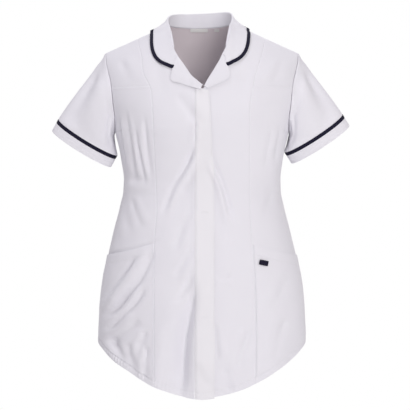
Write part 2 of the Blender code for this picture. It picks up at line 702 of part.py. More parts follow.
def sleeve(row, label):
    side, cx, cy, cz, hx, hz, deep, ax, az = row
    hole, lie = armhole_ring(side)
    count = len(hole)
    theta = np.arange(count) * 2 * np.pi / count
    axis = np.array([ax, 0.0, az])
    axis = axis / np.linalg.norm(axis)

    def ring(beyond):
        cos, sin = np.cos(theta)[:, None], np.sin(theta)[:, None]
        out = np.array([cx, cy, cz]) + cos * np.array([hx, 0.0, hz])
        out = out + sin * np.array([0.0, -deep, 0.0]) + sin * FRONT_DIP * axis
        return out + beyond * axis
    end = ring(-TRIM / 2 - GAP)
    chord = unit(end - hole)
    puff = lie - np.sum(lie * chord, axis=1, keepdims=True) * chord
    puff = puff * (np.sin(theta) ** 2)[:, None] * 0.45
    low = ((1 - np.cos(theta)) / 2)[:, None] ** 2
    start = hole + chord * (GAP + 0.15) + low * np.array([side * 0.5, 0.0, 0.0])
    leave = unit(chord + puff + low * np.array([side * 0.5, 0.0, 0.0]))
    reach = np.linalg.norm(end - start, axis=1, keepdims=True)
    one = start + leave * reach * 0.35
    two = end - axis * reach * (0.3 - 0.24 * low)
    rows = []
    for t in np.linspace(0, 1, 8):
        rows.append((1 - t) ** 3 * start + 3 * t * (1 - t) ** 2 * one
                    + 3 * t * t * (1 - t) * two + t ** 3 * end)
    skin = np.array(rows)
    middle = skin.mean(axis=1, keepdims=True)
    n = grid_normals(skin, True, skin - middle)
    agree = np.clip(np.sum(n[0] * lie, axis=1, keepdims=True), 0, 1)
    n[0] = unit(n[0] + 4 * agree * lie)
    band = np.array([ring(-TRIM / 2), ring(TRIM / 2)])
    n_band = grid_normals(band, True, band - band.mean(axis=1, keepdims=True))
    n[-1] = n_band[0]
    cloth("sleeve_" + label, skin, n, WHITE, around=True)
    cloth("cuff_trim_" + label, band, n_band, NAVY, around=True)
    start, foot = TRIM / 2 + GAP, TRIM / 2 + GAP + CUFF
    band = np.array([ring(start), ring(foot)])
    n_band = grid_normals(band, True, band - band.mean(axis=1, keepdims=True))
    cloth("cuff_" + label, band, n_band, WHITE, around=True)


sleeve(SLEEVES[0], "right")
sleeve(SLEEVES[1], "left")


# ================================================================ collar
def neck_seam(side, i):
    """Point on the neck seam beside row i of the collar tables, and the normal there."""
    edge = EDGE_RIGHT if side < 0 else EDGE_LEFT
    if i >= 4:
        z = float(np.interp(i, range(4, 11), NECK_FRONT)) + side * NECK_TILT * 60
        z = min(z, 13.6 if side < 0 else 19.2)
        x = float(along(edge, z))
        t = float(turn_of(ridge(x) - z))
    else:
        x = NECK_SHIFT + side * float(np.interp(i, range(5), NECK_BACK))
        z = float(along(BACK_NECK, x))
        t = -float(turn_of(ridge(x) - z))
    return body(float(angle_at(x, z)), t)


def collar_end(side, i):
    """Point on the collar's outer edge beside row i of the collar tables, and the normal."""
    EX, ET = through(np.array(COLLAR_EDGE), [i / 10])[0]
    x = NECK_SHIFT + side * EX
    z = float(ridge(EX) - drop(ET)) + side * NECK_TILT * EX
    turn = float(turn_of(ridge(x) - z)) * (1 if ET >= 0 else -1)
    p, n = body(float(angle_at(x, z)), turn)
    return p + n * (ON_TOP + 1.2), n


def collar_station(side, i):
    """Visible face of the collar at one station, from the neck seam to the outer edge."""
    rows = np.array(COLLAR_ROLL)
    X, Y, Z = through(rows, [i / 10])[0]
    R = np.array([NECK_SHIFT + side * X, Y, Z + side * NECK_TILT * X])
    flat = np.clip((i - 7.0) / 2.0, 0, 1)
    flat = flat * flat * (3 - 2 * flat)
    R = (1 - flat) * R + flat * on_body(R[0], R[2], 1.0, 0.3)
    ahead = through(rows, [min(i + 0.3, 10) / 10])[0] - through(rows, [max(i - 0.3, 0) / 10])[0]
    tangent = unit(np.array([side * ahead[0], ahead[1], ahead[2] + NECK_TILT * ahead[0]]))
    E, ne = collar_end(side, i)
    edge_way = collar_end(side, min(i + 0.1, 10))[0] - collar_end(side, max(i - 0.1, 0))[0]
    ps, ns = neck_seam(side, i)
    level = np.clip((i - 6.5) / 1.5, 0, 1)
    toward = R - ps
    toward = unit(toward - np.dot(toward, tangent) * tangent)
    N = ps + toward * (1.15 + 0.3 * level) - ns * WALL * level
    down = unit(N - R) * 0.35 + unit(E - R) * 0.65
    up = -unit(down - np.dot(down, tangent) * tangent)
    out = unit(np.cross(tangent, up))
    if np.dot(out, E - N) < 0:
        out = -out
    r_in = R - up * ROLL - out * ROLL
    r_out = R - up * ROLL + out * ROLL
    one = r_out - up * np.linalg.norm(E - r_out) * 0.35
    two = E + (R - E) * 0.3 + ne * 1.5
    points = [N, r_in, R - 0.25 * up * ROLL - 0.75 * out * ROLL, R,
              R - 0.25 * up * ROLL + 0.75 * out * ROLL]
    length = np.linalg.norm(E - r_out)
    slant = np.linalg.norm(np.cross(unit(edge_way), unit(E - r_out)))
    edge = 1 - TRIM / length / max(slant, 0.55)
    fall = []
    for t in (0.0, edge / 3, edge * 2 / 3, edge - GAP / length, edge, 1.0):
        q = (1 - t) ** 3 * r_out + 3 * t * (1 - t) ** 2 * one + 3 * t * t * (1 - t) * two
        q = q + t ** 3 * E
        s = 1.0 if q[1] < 0 else -1.0
        x, z = q[0], q[2]
        pb, nb = body(float(angle_at(x, z)), s * float(turn_of(ridge(x) - z)))
        need = ON_TOP + 1.3
        height = float(np.dot(q - pb, nb))
        if height < need:
            q = q + nb * (need - height)
        fall.append(q)
    return points, fall


def collar():
    stations = [(-1.0, i) for i in np.linspace(10, 0, 17)]
    stations = stations + [(1.0, i) for i in np.linspace(0, 10, 17)[1:]]
    body_rows, trim_rows = [], []
    for side, i in stations:
        points, fall = collar_station(side, i)
        body_rows.append(points + fall[:4])
        trim_rows.append(fall[4:])
    skin = np.array(body_rows)
    n = grid_normals(skin)
    trim = np.array(trim_rows)
    m = grid_normals(trim)
    if n[16, -1, 1] < 0:
        n = -n
    if m[16, -1, 1] < 0:
        m = -m
    m[:, 0] = n[:, -1]
    cloth("collar", skin, n, WHITE)
    cloth("collar_trim", trim, m, NAVY)


collar()


def ramp(value, start, end):
    t = np.clip((value - start) / (end - start), 0, 1)
    return t * t * (3 - 2 * t)


def lapel(side, table, label):
    rows = []
    for i in np.linspace(0, 5, 11):
        zr, xr, ze, xe = [float(np.interp(i, range(6), [row[k] for row in table]))
                          for k in range(4)]
        near = xr + side * 2.6
        line = [(xr + side * 4.1, zr, -WALL), (near, zr, -WALL), (xr, zr, 0.3),
                (near, zr, ON_TOP + 0.4)]
        for t in (0.33, 0.66, 1.0):
            line.append((near + (xe - near) * t, zr + (ze - zr) * t, ON_TOP + 0.5 + 0.6 * t))
        line = np.array(line)
        if side < 0:
            # Near its foot the right lapel rides over the placket band.
            over = ramp(line[:, 0], -26.0, -16.0) * ramp(line[:, 1], -105.0, -113.0)
            line[:, 2] += (ON_TOP + 0.3) * over
        rows.append(on_body(line[:, 0], line[:, 1], 1.0, line[:, 2]))
    skin = np.array(rows)
    n = grid_normals(skin)
    if n[5, -1, 1] > 0:
        n = -n
    cloth("lapel_" + label, skin, n, WHITE)


lapel(-1.0, LAPEL_RIGHT, "right")
lapel(1.0, LAPEL_LEFT, "left")
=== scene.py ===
"""Looks of the maternity tunic: a thin cloth shell on each solid's form, with its creases,
seams and stitching, then the materials, the studio light and the camera.

Lengths are in millimetres inside the functions and in metres in the scene.
"""

import bpy
import numpy as np
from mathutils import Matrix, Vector

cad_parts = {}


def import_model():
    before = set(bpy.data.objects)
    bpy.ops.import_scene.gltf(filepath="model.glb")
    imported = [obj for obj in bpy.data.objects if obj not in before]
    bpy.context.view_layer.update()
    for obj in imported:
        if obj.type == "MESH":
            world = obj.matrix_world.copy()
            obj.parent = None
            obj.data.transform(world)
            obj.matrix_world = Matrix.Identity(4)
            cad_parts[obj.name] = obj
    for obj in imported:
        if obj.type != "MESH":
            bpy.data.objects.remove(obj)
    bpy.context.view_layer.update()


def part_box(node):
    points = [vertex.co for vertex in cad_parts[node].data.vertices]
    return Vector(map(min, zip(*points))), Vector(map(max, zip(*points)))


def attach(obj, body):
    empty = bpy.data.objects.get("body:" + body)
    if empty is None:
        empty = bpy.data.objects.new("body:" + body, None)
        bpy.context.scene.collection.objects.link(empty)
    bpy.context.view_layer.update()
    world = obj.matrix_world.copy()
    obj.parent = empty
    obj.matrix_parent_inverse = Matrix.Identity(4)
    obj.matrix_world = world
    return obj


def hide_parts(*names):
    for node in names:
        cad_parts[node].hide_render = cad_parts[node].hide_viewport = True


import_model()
MM = 0.001
RANDOM = np.random.default_rng(11)

# ---- cloth
CLOTH = 0.9            # thickness of one layer
TURNED = 1.7           # thickness where the hem is turned up
STEP = 3.4             # usual distance between two points down a panel
GAP = 0.08             # between two pieces at a seam
ON_TOP = 1.9           # height of a piece that lies on a panel
ROLL = 1.95            # radius where the collar and the lapels turn over
HEM_DEEP = 13.5        # from the hem's edge to its stitching
SEAM_DEEP = 0.55       # how far a seam pulls the cloth in
SETTLE = 40            # rounds in which a panel's points find their heights

# ---- body
# Rings of the body: height, half width, front depth, back depth.
RINGS = (
    (-800, 221, 168, 134), (-666, 221, 166, 130), (-602, 219, 163, 126), (-525, 211, 157, 119),
    (-486, 203, 153, 114), (-447, 193.5, 148, 108), (-408, 184, 143, 101), (-370, 174, 137, 95),
    (-344, 169, 134, 91), (-318, 168, 132, 90), (-280, 172.5, 132, 94), (-250, 177.8, 133, 99),
    (-235, 181.6, 132.6, 101), (-215, 186, 132, 103), (-205, 187, 131, 103),
    (-185, 191.5, 129, 104), (-160, 201, 125, 103), (-120, 209, 116, 99), (-90, 213, 109, 95),
    (-50, 216, 97, 87), (0, 216, 82, 74), (60, 210, 62, 60),
)
HALF_WIDTH, FRONT_DEPTH, BACK_DEPTH = 1, 2, 3
SQUARENESS = 0.82      # below 1 the front and back are flatter than an ellipse
RIDGE_DEPTH = 110.0    # drop from the shoulder ridge to the full depth
SHOULDER_TURN = 0.0045     # the front panels start this turn past the ridge,
SHOULDER_DROP = 0.0011     # and the back this much below it
SIDE_RADIUS = 180.0    # of the body at the side seams, about
# Shoulder ridge: distance from the centre, height.
RIDGE = (
    (0, 60), (20, 56.5), (40, 44), (55, 30.5), (70, 15.5), (100, 2), (150, -20.5), (205, -45.2),
    (240, -61),
)
# Curved hem, a tail at front and back: distance from the centre, height.
HEM = (
    (0, -769), (22, -767), (55, -759.5), (88, -748.5), (121, -733.5), (156, -713), (177, -701),
    (196, -687), (212, -671), (221, -662),
)
UNDERARM = -215.0
# Armhole edge: height, distance from the centre.
ARMHOLE = (
    (-215, 186), (-205, 185), (-188, 185), (-160, 188), (-137, 190), (-111, 193.5), (-90, 199),
    (-63, 205), (-40, 207),
)

# ---- seams, height and x
PRINCESS_RIGHT = (
    (-800, -96), (-648, -97), (-546, -98.1), (-448, -98.4), (-386, -93.5), (-347, -94.7),
    (-265, -98.8), (-207, -101), (-135, -105.7), (-122, -110), (-94.5, -122.9), (-57.5, -127.7),
    (-28, -134.9), (0, -139),
)
PRINCESS_LEFT = (
    (-800, 108), (-648, 110.5), (-550, 109), (-444, 103.1), (-341, 99.3), (-252, 99.3),
    (-177, 99.6), (-129, 105.4), (-90, 114.9), (-46.5, 128.2), (0, 137),
)
YOKE_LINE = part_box("yoke_left")[0][2] / MM
# Inner edge of each centre front: the placket below, the turned neck edge above.
EDGE_RIGHT = (
    (-800, -14.5), (-117, -14.5), (-110, -19.7), (-101, -28.4), (-84, -39.1), (-70, -48),
    (-62, -54.3), (-45, -62), (-24, -66.5), (-5, -69.5), (7, -71.7), (13.7, -74), (60, -78),
)
EDGE_LEFT = (
    (-800, -12), (-143, -12), (-136, -10), (-128, 5.4), (-122, 8), (-104, 19.6), (-84, 33.1),
    (-60, 46.4), (-42, 53.6), (-22, 58), (-2, 61.2), (9, 63.5), (19.3, 66), (60, 70),
)
NECK_RIGHT, NECK_LEFT = -74, 66    # the neck opening's ends at the shoulders
# Seam at the back neck: x, height.
BACK_NECK = ((-74, 13.7), (-60, 13.9), (-4, 14.5), (40, 15.6), (56, 17.4), (66, 19.3))
PLACKET_EDGE = ((-800, 25.5), (-336, 25.5), (-285, 22.9), (-182, 17.8), (-120, 14))
PLACKET_LEFT = -14.2
PLACKET_TOP = ((-15, -118.5), (-12, -121.5), (0, -131), (8, -134), (26, -139))
HEM_STEP = 4.5         # the left front ends this much above the band's foot
FOLD_TOP = -126.0      # below this the right front is folded along the placket

# ---- creases
SHARP, GAIN = 0.85, 2.4    # all creases together: share of their width, of their depth
# Each crease: its line as x, z, x, z and so on, half width, depth (below 0 is a trough), height
# of the ridge beside it, the ridge's side (1 on the wearer's right of a falling line, -1 left)
# and how much gentler the slope is on that side, where it is.
FRONT_CREASES = (
    # the long pull from the placket to the right princess seam, and those under it
    ((-12, -246, -33, -292, -56, -329, -68, -355, -84, -396), 5.5, -2.8, 1.9, -1),
    ((-15, -300, -30, -330, -44, -352), 9, -0.8, 0.5, -1),
    ((-16, -366, -37, -409, -48, -440, -62, -474), 8, -1.3, 0.9, -1),
    ((-16, -452, -41, -496, -62, -520), 7, -1.4, 1, -1),
    ((-15, -508, -36, -545, -60, -580), 7, -1.6, 1.3, -1),
    # the deep valley beside the placket's foot, and the ridge on its right side
    ((-15, -506, -21, -568, -30, -612, -38, -661, -48, -800), 12, -9.6, 0.9, 1, 1.7),
    ((-60, -600, -70, -650, -76, -720, -82, -800), 10, -0.8, 0.7, 1),
    ((-17, -690, -4, -716, 18, -748), 10, -0.8, 0.9, -1),
    # pull from the right lapel to the placket
    ((-54, -140, -34, -166, -18, -190, -12, -210), 10, -1.5, 0.9, -1),
    ((-12, -196, -13, -222, -15, -250), 4, -1.6, 0.8, 1),
    # the long soft pull on the left front
    ((23, -258, 27, -292, 45, -334, 58, -382, 72, -424), 5.5, -2, 1.9, 1),
    ((30, -380, 42, -430, 50, -470), 10, -0.7, 0.5, 1),
    ((27, -519, 44, -521, 64, -518), 6, -0.7, 0.4, 1),
    ((101, -622, 82, -680, 72, -722), 8, -1.8, 1.2, 1),
    ((28, -608, 30, -650, 34, -700), 6, -1.2, 0.8, -1),
    ((46, -700, 52, -728, 58, -760), 9, -1.6, 1, -1),
    # right side panel: fine pulls under the arm, the waist, the hip
    ((-176, -176, -172, -226, -164, -284, -158, -322), 3.6, -1.4, 0.8, -1),
    ((-160, -168, -152, -226, -143, -290, -140, -336), 4.4, -1.5, 1, -1),
    ((-141, -196, -134, -246, -123, -300, -118, -340), 3.6, -1.1, 0.8, -1),
    ((-120, -180, -116, -240, -108, -296, -106, -330), 4.4, -1.2, 0.6, 1),
    ((-158, -312, -136, -318, -108, -312), 9, -1.1, 0.6, 1),
    ((-150, -352, -139, -386, -122, -424), 7, -0.9, 0.8, -1),
    ((-168, -330, -160, -390, -152, -440), 9, -1, 0.6, 1),
    # right pocket: the crossing diagonals
    ((-98, -462, -120, -512, -150, -555, -206, -618), 6, -4.6, 3, 1, 1.4),
    ((-132, -474, -160, -512, -204, -574), 6, -3, 1.6, -1),
    ((-112, -540, -148, -586, -204, -642), 5.5, -3.4, 2.4, 1, 1.3),
    ((-124, -606, -160, -636, -206, -672), 11, -2.8, 1.2, 1),
    # above the pocket's mouth, so that its lip stands out
    ((-80, -444, -136, -461, -196, -475, -232, -481), 2.8, -1.2, 0, 1),
    # the folds that run down to the pocket's foot
    ((-112, -628, -124, -656, -134, -692), 6, -1.9, 1.1, 1),
    ((-112, -656, -115, -696, -117, -736), 5, -2, 1.3, 1),
    ((-196, -640, -176, -672, -154, -704), 8, -2.6, 1.2, 1),
    ((-152, -650, -148, -684, -138, -722), 9, -2, 1.1, -1),
    # left side panel: the same, softer
    ((166, -200, 160, -240, 150, -286), 5, -0.9, 0.6, 1),
    ((146, -210, 138, -256, 130, -300), 5.5, -0.7, 0.5, 1),
    ((150, -330, 138, -372, 122, -410), 9, -0.7, 0.5, 1),
    ((186, -506, 160, -560, 136, -600), 9, -0.8, 0.6, 1),
    ((176, -600, 160, -650, 148, -700), 10, -1.2, 0.9, 1),
    # shoulders, under the yoke seams
    ((-176, -60, -160, -92, -150, -122), 9, -0.7, 0.5, -1),
    ((172, -62, 158, -96, 146, -124), 9, -0.7, 0.5, 1),
    ((-96, -60, -88, -110, -84, -160), 14, -0.7, 0.5, 1),
    ((88, -80, 84, -130, 76, -190), 14, -0.7, 0.5, -1),
)
BACK_CREASES = (
    ((-60, -250, -72, -340, -80, -470, -86, -800), 15, -2.6, 2, 1),
    ((52, -270, 66, -360, 74, -500, 80, -800), 14, -2.2, 2, -1),
    ((-6, -420, -2, -520, -10, -640, -8, -800), 17, -3, 1.8, 1),
    ((-128, -430, -140, -540, -150, -640, -152, -800), 13, -2.4, 1.6, 1),
    ((126, -450, 140, -560, 146, -660, 150, -800), 13, -2.2, 1.6, -1),
    ((-150, -180, -120, -216, -90, -236), 9, -1.4, 0.9, 1),
    ((152, -176, 124, -214, 92, -238), 8, -1.3, 0.9, -1),
    ((-168, -210, -156, -262, -146, -312), 5, -1.4, 1, -1),
    ((-150, -226, -134, -276, -120, -330), 6, -1.2, 0.8, -1),
    ((170, -206, 160, -258, 150, -306), 5, -1.2, 0.9, 1),
    ((148, -230, 134, -282, 118, -338), 6, -1.1, 0.8, 1),
    ((-110, -296, -60, -312, -14, -306), 9, -1.2, 0.8, 1),
    ((14, -318, 62, -310, 112, -290), 8, -1.1, 0.7, 1),
    ((-64, -30, -50, -70, -44, -120), 12, -0.9, 0.6, 1),
    ((58, -28, 48, -70, 40, -126), 12, -0.9, 0.6, -1),
    ((-186, -560, -176, -610, -164, -670), 9, -1.2, 0.8, 1),
    ((184, -556, 172, -612, 160, -676), 9, -1.1, 0.8, -1),
)
# Below the chest the cloth hangs loose: between these depths it gets there.
LOOSE = (60, 420)
# Slight unevenness: least height, how much more where it is loose, size, shift.
UNEVEN = ((0.35, 0.75, 52, 0), (0.16, 0.18, 21, 300))
# Soft flutes that grow towards the hem between two depths: share, count round it, phase.
FLUTED = (470, 760)
FLUTES = ((1, 9, 0.8), (0.6, 14, 2.1))
# Soft fullness at the bust on each princess seam: x, z, radius, height.
FULLNESS = ((-88, -205, 62, 7), (86, -205, 62, 7))
# Creases of a sleeve: degrees round from its top over the front and share of its length, in
# turn, then as above.
SLEEVE_CREASES = (
    ((16, 0.06, 30, 0.30, 45, 0.58, 58, 0.92), 24, -3.8, 1.4, -1),
    ((118, 0.02, 132, 0.34, 138, 0.70), 8, -1.2, 0.8, -1),
    ((152, 0.05, 146, 0.42, 138, 0.80), 7, -1, 0.7, 1),
    ((206, 0.06, 220, 0.40, 234, 0.78), 8.5, -1.1, 0.8, 1),
    ((246, 0.03, 256, 0.36, 262, 0.70), 11, -1, 0.7, 1),
    ((304, 0.08, 290, 0.42, 280, 0.76), 13, -1.2, 0.8, 1),
)

# ---- sleeves
# Each: side, the trim ring's centre x, y, z, its half vector x, z, half depth, axis x, z.
SLEEVES = (
    (-1, -246.6, -6, -230, -63, 39, 38, -0.48, -0.877),
    (1, 241.2, -6, -221.3, 62, 40.9, 38, 0.53, -0.848),
)
FRONT_DIP = 8.5        # the cuff's front hangs lower than its back
TRIM = 7.8             # width of the navy trim
CUFF = 20.0            # depth of the cuff under the trim
ARM_STEPS = 62         # points on each half of the armhole
SLEEVE_LONG = 185.0    # usual length of a sleeve, and
TO_DEGREE = 1.15       # millimetres to a degree round it, for its creases
CUFF_GROOVES = (2.2, 8.5, 15.5)    # from the cuff's upper edge

# ---- collar
NECK_SHIFT = -4.0      # the neck opening sits a little to the wearer's right
NECK_TILT = 0.045      # and rises this much to a millimetre towards the left
COLLAR_HALF = 88       # points along each half of the collar
COLLAR_OFF = ON_TOP + 0.9  # height of its outer edge over the body
# Where the collar turns over: x, y, z from the back centre to the front end.
COLLAR_ROLL = (
    (0, 62, 47), (28, 59.5, 47), (50, 47, 46), (63, 25, 42), (68, 0, 34), (67, -22, 21),
    (62.5, -43, 5), (58, -64, -18), (53.5, -84, -43), (49.5, -91, -52.5), (45.5, -96, -60),
)
# Its outer edge, lying on the body: distance from the centre, turn about the shoulder ridge.
COLLAR_EDGE = (
    (0, -1.13), (30, -1.05), (57, -0.82), (79, -0.55), (95, -0.25), (103, 0.08), (105.2, 0.45),
    (104.6, 0.84), (96, 1.17), (78.5, 1.365), (54.3, 1.64),
)
# The neck seam under it, row by row: distance from the centre at the back, then height.
NECK_BACK = (0, 26, 46, 61, 70)
NECK_FRONT = (16.6, 7.5, -5, -23, -43.5, -52.5, -60)
NECK_TOP = (13.6, 19.2)    # where the front's neck edge ends at the shoulder, right and left
RIDGE_ROW, FRONT_ROW = 4, 10   # rows of these tables on the shoulder ridge and in front
# Lapels: height and x of the turned edge, then of the outer edge.
LAPEL_RIGHT = (
    (-124.5, 3.2, -134, -2.9), (-115, -8.6, -129.5, -18), (-101, -22.7, -121.5, -41),
    (-84, -34.2, -112, -64.9), (-64, -48.2, -86, -60.9), (-58.5, -51.2, -80, -62),
)
LAPEL_LEFT = (
    (-126.3, 3.9, -131, 12), (-113, 10.6, -126, 23), (-97, 20.4, -117.5, 41),
    (-84, 28.1, -107, 57.5), (-70, 36.2, -92, 57.4), (-60.2, 40.8, -79.5, 52.7),
    (-55, 43.6, -74, 54),
)

# ---- pockets and labels
# Top edge of each pocket: distance from the centre, height.
POCKET_TOP = ((95, -450), (136, -463.5), (196, -477.5), (230, -483))
POCKET_FOOT = 15.0     # the pocket is caught in the hem this far above its edge
POCKET_HEM = 19.0      # from the pocket's mouth to its stitching
TAB = (126, -491.9, 18.6, 10.6, -0.21)     # x, z, width, height, turn
NECK_LABEL = (-6.8, 10.9, 39, 7)           # x, z, width, height
SIZE_LABEL = (33, 10.6, 11, 5)
LABEL_OFF = -(CLOTH + 1.9)                 # inside the back
TACKS = ((-387, 17), (-602, 20))           # height and width of the bar tacks


# ==== tables
def along(rows, at, column=1):
    """A smooth, never overshooting value from a table whose first column rises."""
    xs = np.array([row[0] for row in rows], float)
    ys = np.array([row[column] for row in rows], float)
    step = np.diff(xs)
    rise = np.diff(ys) / step
    slope = np.concatenate([rise[:1], 0 * rise[1:], rise[-1:]])
    for i in range(1, len(step)):
        if rise[i - 1] * rise[i] > 0:
            before = 2 * step[i] + step[i - 1]
            after = step[i] + 2 * step[i - 1]
            slope[i] = (before + after) / (before / rise[i - 1] + after / rise[i])
    at = np.clip(np.asarray(at, float), xs[0], xs[-1])
    k = np.clip(np.searchsorted(xs, at) - 1, 0, len(step) - 1)
    t = (at - xs[k]) / step[k]
    one = (1 + 2 * t) * (1 - t) ** 2 * ys[k]
    two = t * (1 - t) ** 2 * step[k] * slope[k]
    three = t * t * (3 - 2 * t) * ys[k + 1]
    four = t * t * (t - 1) * step[k] * slope[k + 1]
    return one + two + three + four


def through(rows, at):
    """A smooth curve through the rows of a table, at 0 to 1 from first to last."""
    rows = np.array(rows, float)
    n = len(rows) - 1
    at = np.clip(np.asarray(at, float), 0, 1) * n
    k = np.clip(at.astype(int), 0, n - 1)
    t = (at - k)[:, None]
    before = rows[np.maximum(k - 1, 0)]
    a, b = rows[k], rows[k + 1]
    after = rows[np.minimum(k + 2, n)]
    return 0.5 * (2 * a + (b - before) * t + (2 * before - 5 * a + 4 * b - after) * t ** 2
                  + (3 * a - before - 3 * b + after) * t ** 3)


def run_of(points):
    """Distance along a line of points from the first to each."""
    return np.concatenate([[0], np.cumsum(np.linalg.norm(np.diff(points, axis=0), axis=1))])


def read(field, run, at):
    """A field of vectors, given at the distances run, at other distances."""
    return np.stack([np.interp(at, run, field[:, i]) for i in range(3)], -1)


def unit(v):
    return v / np.maximum(np.linalg.norm(v, axis=-1, keepdims=True), 1e-9)


def dot(a, b):
    return np.sum(a * b, axis=-1, keepdims=True)


def ramp(value, start, end):
    """0 before start, 1 past end, smooth between them."""
    t = np.clip((value - start) / (end - start), 0, 1)
    return t * t * (3 - 2 * t)


def bell(value, half):
    """1 at 0, falling off on both sides; about a third at half."""
    return np.exp(-(value / half) ** 2)


# ==== body surface
def drop(turn):
    """Height lost from the shoulder ridge for a turn of the surface over it."""
    turn = np.abs(turn)
    return RIDGE_DEPTH * np.where(turn < np.pi / 2, 1 - np.cos(turn), 1 + turn - np.pi / 2)


def turn_of(fall):
    """The turn at which that height is lost."""
    fall = np.maximum(fall, 0) / RIDGE_DEPTH
    return np.where(fall < 1, np.arccos(np.clip(1 - fall, -1, 1)), np.pi / 2 + fall - 1)


def ridge(x):
    """Height of the shoulder ridge."""
    return along(RIDGE, np.abs(x))


def width(z):
    """Half width of the body at a height."""
    return along(RINGS, z, HALF_WIDTH)


def body_at(angle, turn):
    """Point on the body: angle round from the front centre, turn about the shoulder ridge.

    A positive turn is the front, a negative one the back."""
    z = ridge(0 * angle + 120.0) - drop(turn)
    for _ in range(14):
        x = width(z) * np.sin(angle)
        z = ridge(x) - drop(turn)
    x = width(z) * np.sin(angle)
    lean = np.sin(np.minimum(np.abs(turn), np.pi / 2)) * np.sign(turn)
    depth = np.where(turn >= 0, along(RINGS, z, FRONT_DEPTH), along(RINGS, z, BACK_DEPTH))
    side = np.sign(np.cos(angle)) * np.abs(np.cos(angle)) ** SQUARENESS
    y = -depth * side * lean
    full = 0 * x
    for x0, z0, radius, high in FULLNESS:
        full = full + high * np.exp(-((x - x0) ** 2 + (z - z0) ** 2) / radius ** 2)
    fade = np.clip(np.abs(np.cos(angle)) * 3.0, 0, 1)
    y = y - np.where(turn >= 0, full, 0) * fade * np.abs(lean)
    return np.stack([x, y, z], -1)


def body(angle, turn):
    """Point and outward normal of the body surface."""
    angle = np.asarray(angle, float)
    turn = np.asarray(turn, float)
    step = 0.004
    across = body_at(angle + step, turn) - body_at(angle - step, turn)
    down = body_at(angle, turn + step) - body_at(angle, turn - step)
    return body_at(angle, turn), unit(np.cross(down, across))


def angle_at(x, z):
    """Angle round the body of the point at x on its ring at height z."""
    return np.arcsin(np.clip(x / width(z), -1, 1))


def hem(x):
    return along(HEM, np.abs(x))


# ==== creases
LATTICE = RANDOM.uniform(-1, 1, (24, 24, 24))


def unevenness(points, size):
    """Smooth random height from -1 to 1, with hills about size apart."""
    turned = points @ np.array([[0.8, 0.36, -0.48], [-0.6, 0.48, -0.64], [0.0, 0.8, 0.6]])
    q = turned / size
    k = np.floor(q).astype(int)
    f = ramp(q - k, 0, 1)
    out = 0.0
    for c in np.array(list(np.ndindex(2, 2, 2))):
        weight = np.prod(np.where(c == 1, f, 1 - f), axis=-1)
        i = (k + c) % len(LATTICE)
        out = out + weight * LATTICE[i[..., 0], i[..., 1], i[..., 2]]
    return out


def crease(a, b, line, half, deep, lift, side, lean=1.0):
    """Height of one crease at the places a, b: a trough with a softer ridge beside it.

    Above 1, lean makes the slope on the ridge's side that much gentler."""
    dense = through(line, np.linspace(0, 1, 8 * (len(line) - 1) + 1))
    run = run_of(dense)
    nearest = np.full(np.shape(a), 1e9)
    away = np.zeros(np.shape(a))
    share = np.zeros(np.shape(a))
    for k in range(len(dense) - 1):
        dx, dz = dense[k + 1] - dense[k]
        da, db = a - dense[k, 0], b - dense[k, 1]
        length = np.hypot(dx, dz)
        t = np.clip((da * dx + db * dz) / length ** 2, 0, 1)
        gap = np.hypot(da - t * dx, db - t * dz)
        sign = np.where(da * dz - db * dx > 0, 1.0, -1.0)
        closer = gap < nearest
        nearest = np.where(closer, gap, nearest)
        away = np.where(closer, sign * gap, away)
        share = np.where(closer, (run[k] + t * length) / run[-1], share)
    ends = ramp(share, 0.0, 0.25) * ramp(1 - share, 0.0, 0.30)
    vary = 0.85 + 0.25 * np.sin(7.0 * share + line[0, 0])
    half = SHARP * half * (1.0 + 0.4 * share)
    shape = deep * bell(away, np.where(away * side > 0, lean, 1.0) * half)
    shape = shape + lift * bell(away - side * 1.8 * lean * half, 1.3 * lean * half)
    return GAIN * ends * vary * shape


def creases(a, b, rows):
    """Height of all the creases of a table at the places a, b."""
    out = np.zeros(np.shape(a))
    for line, half, *rest in rows:
        line = np.array(line, float).reshape(-1, 2)
        low, high = line.min(axis=0) - 7 * half, line.max(axis=0) + 7 * half
        near = (a > low[0]) & (a < high[0]) & (b > low[1]) & (b < high[1])
        if near.any():
            out[near] += crease(a[near], b[near], line, half, *rest)
    return out


def relief(points, angle, turn):
    """Height of the cloth above the plain body: creases and a slight unevenness."""
    x, z = points[..., 0], points[..., 2]
    out = np.where(turn >= 0, creases(x, z, FRONT_CREASES), creases(x, z, BACK_CREASES))
    out = out * np.clip(np.abs(np.cos(angle)) * 3.0, 0, 1) * np.clip(np.abs(turn) * 3, 0, 1)
    loose = ramp(-z, *LOOSE)
    for least, more, size, shift in UNEVEN:
        out = out + (least + more * loose) * unevenness(points + shift, size)
    round_it = np.arctan2(x, -points[..., 1])
    flute = sum(high * np.sin(count * round_it + phase) for high, count, phase in FLUTES)
    return out + 1.5 * ramp(-z, *FLUTED) * flute


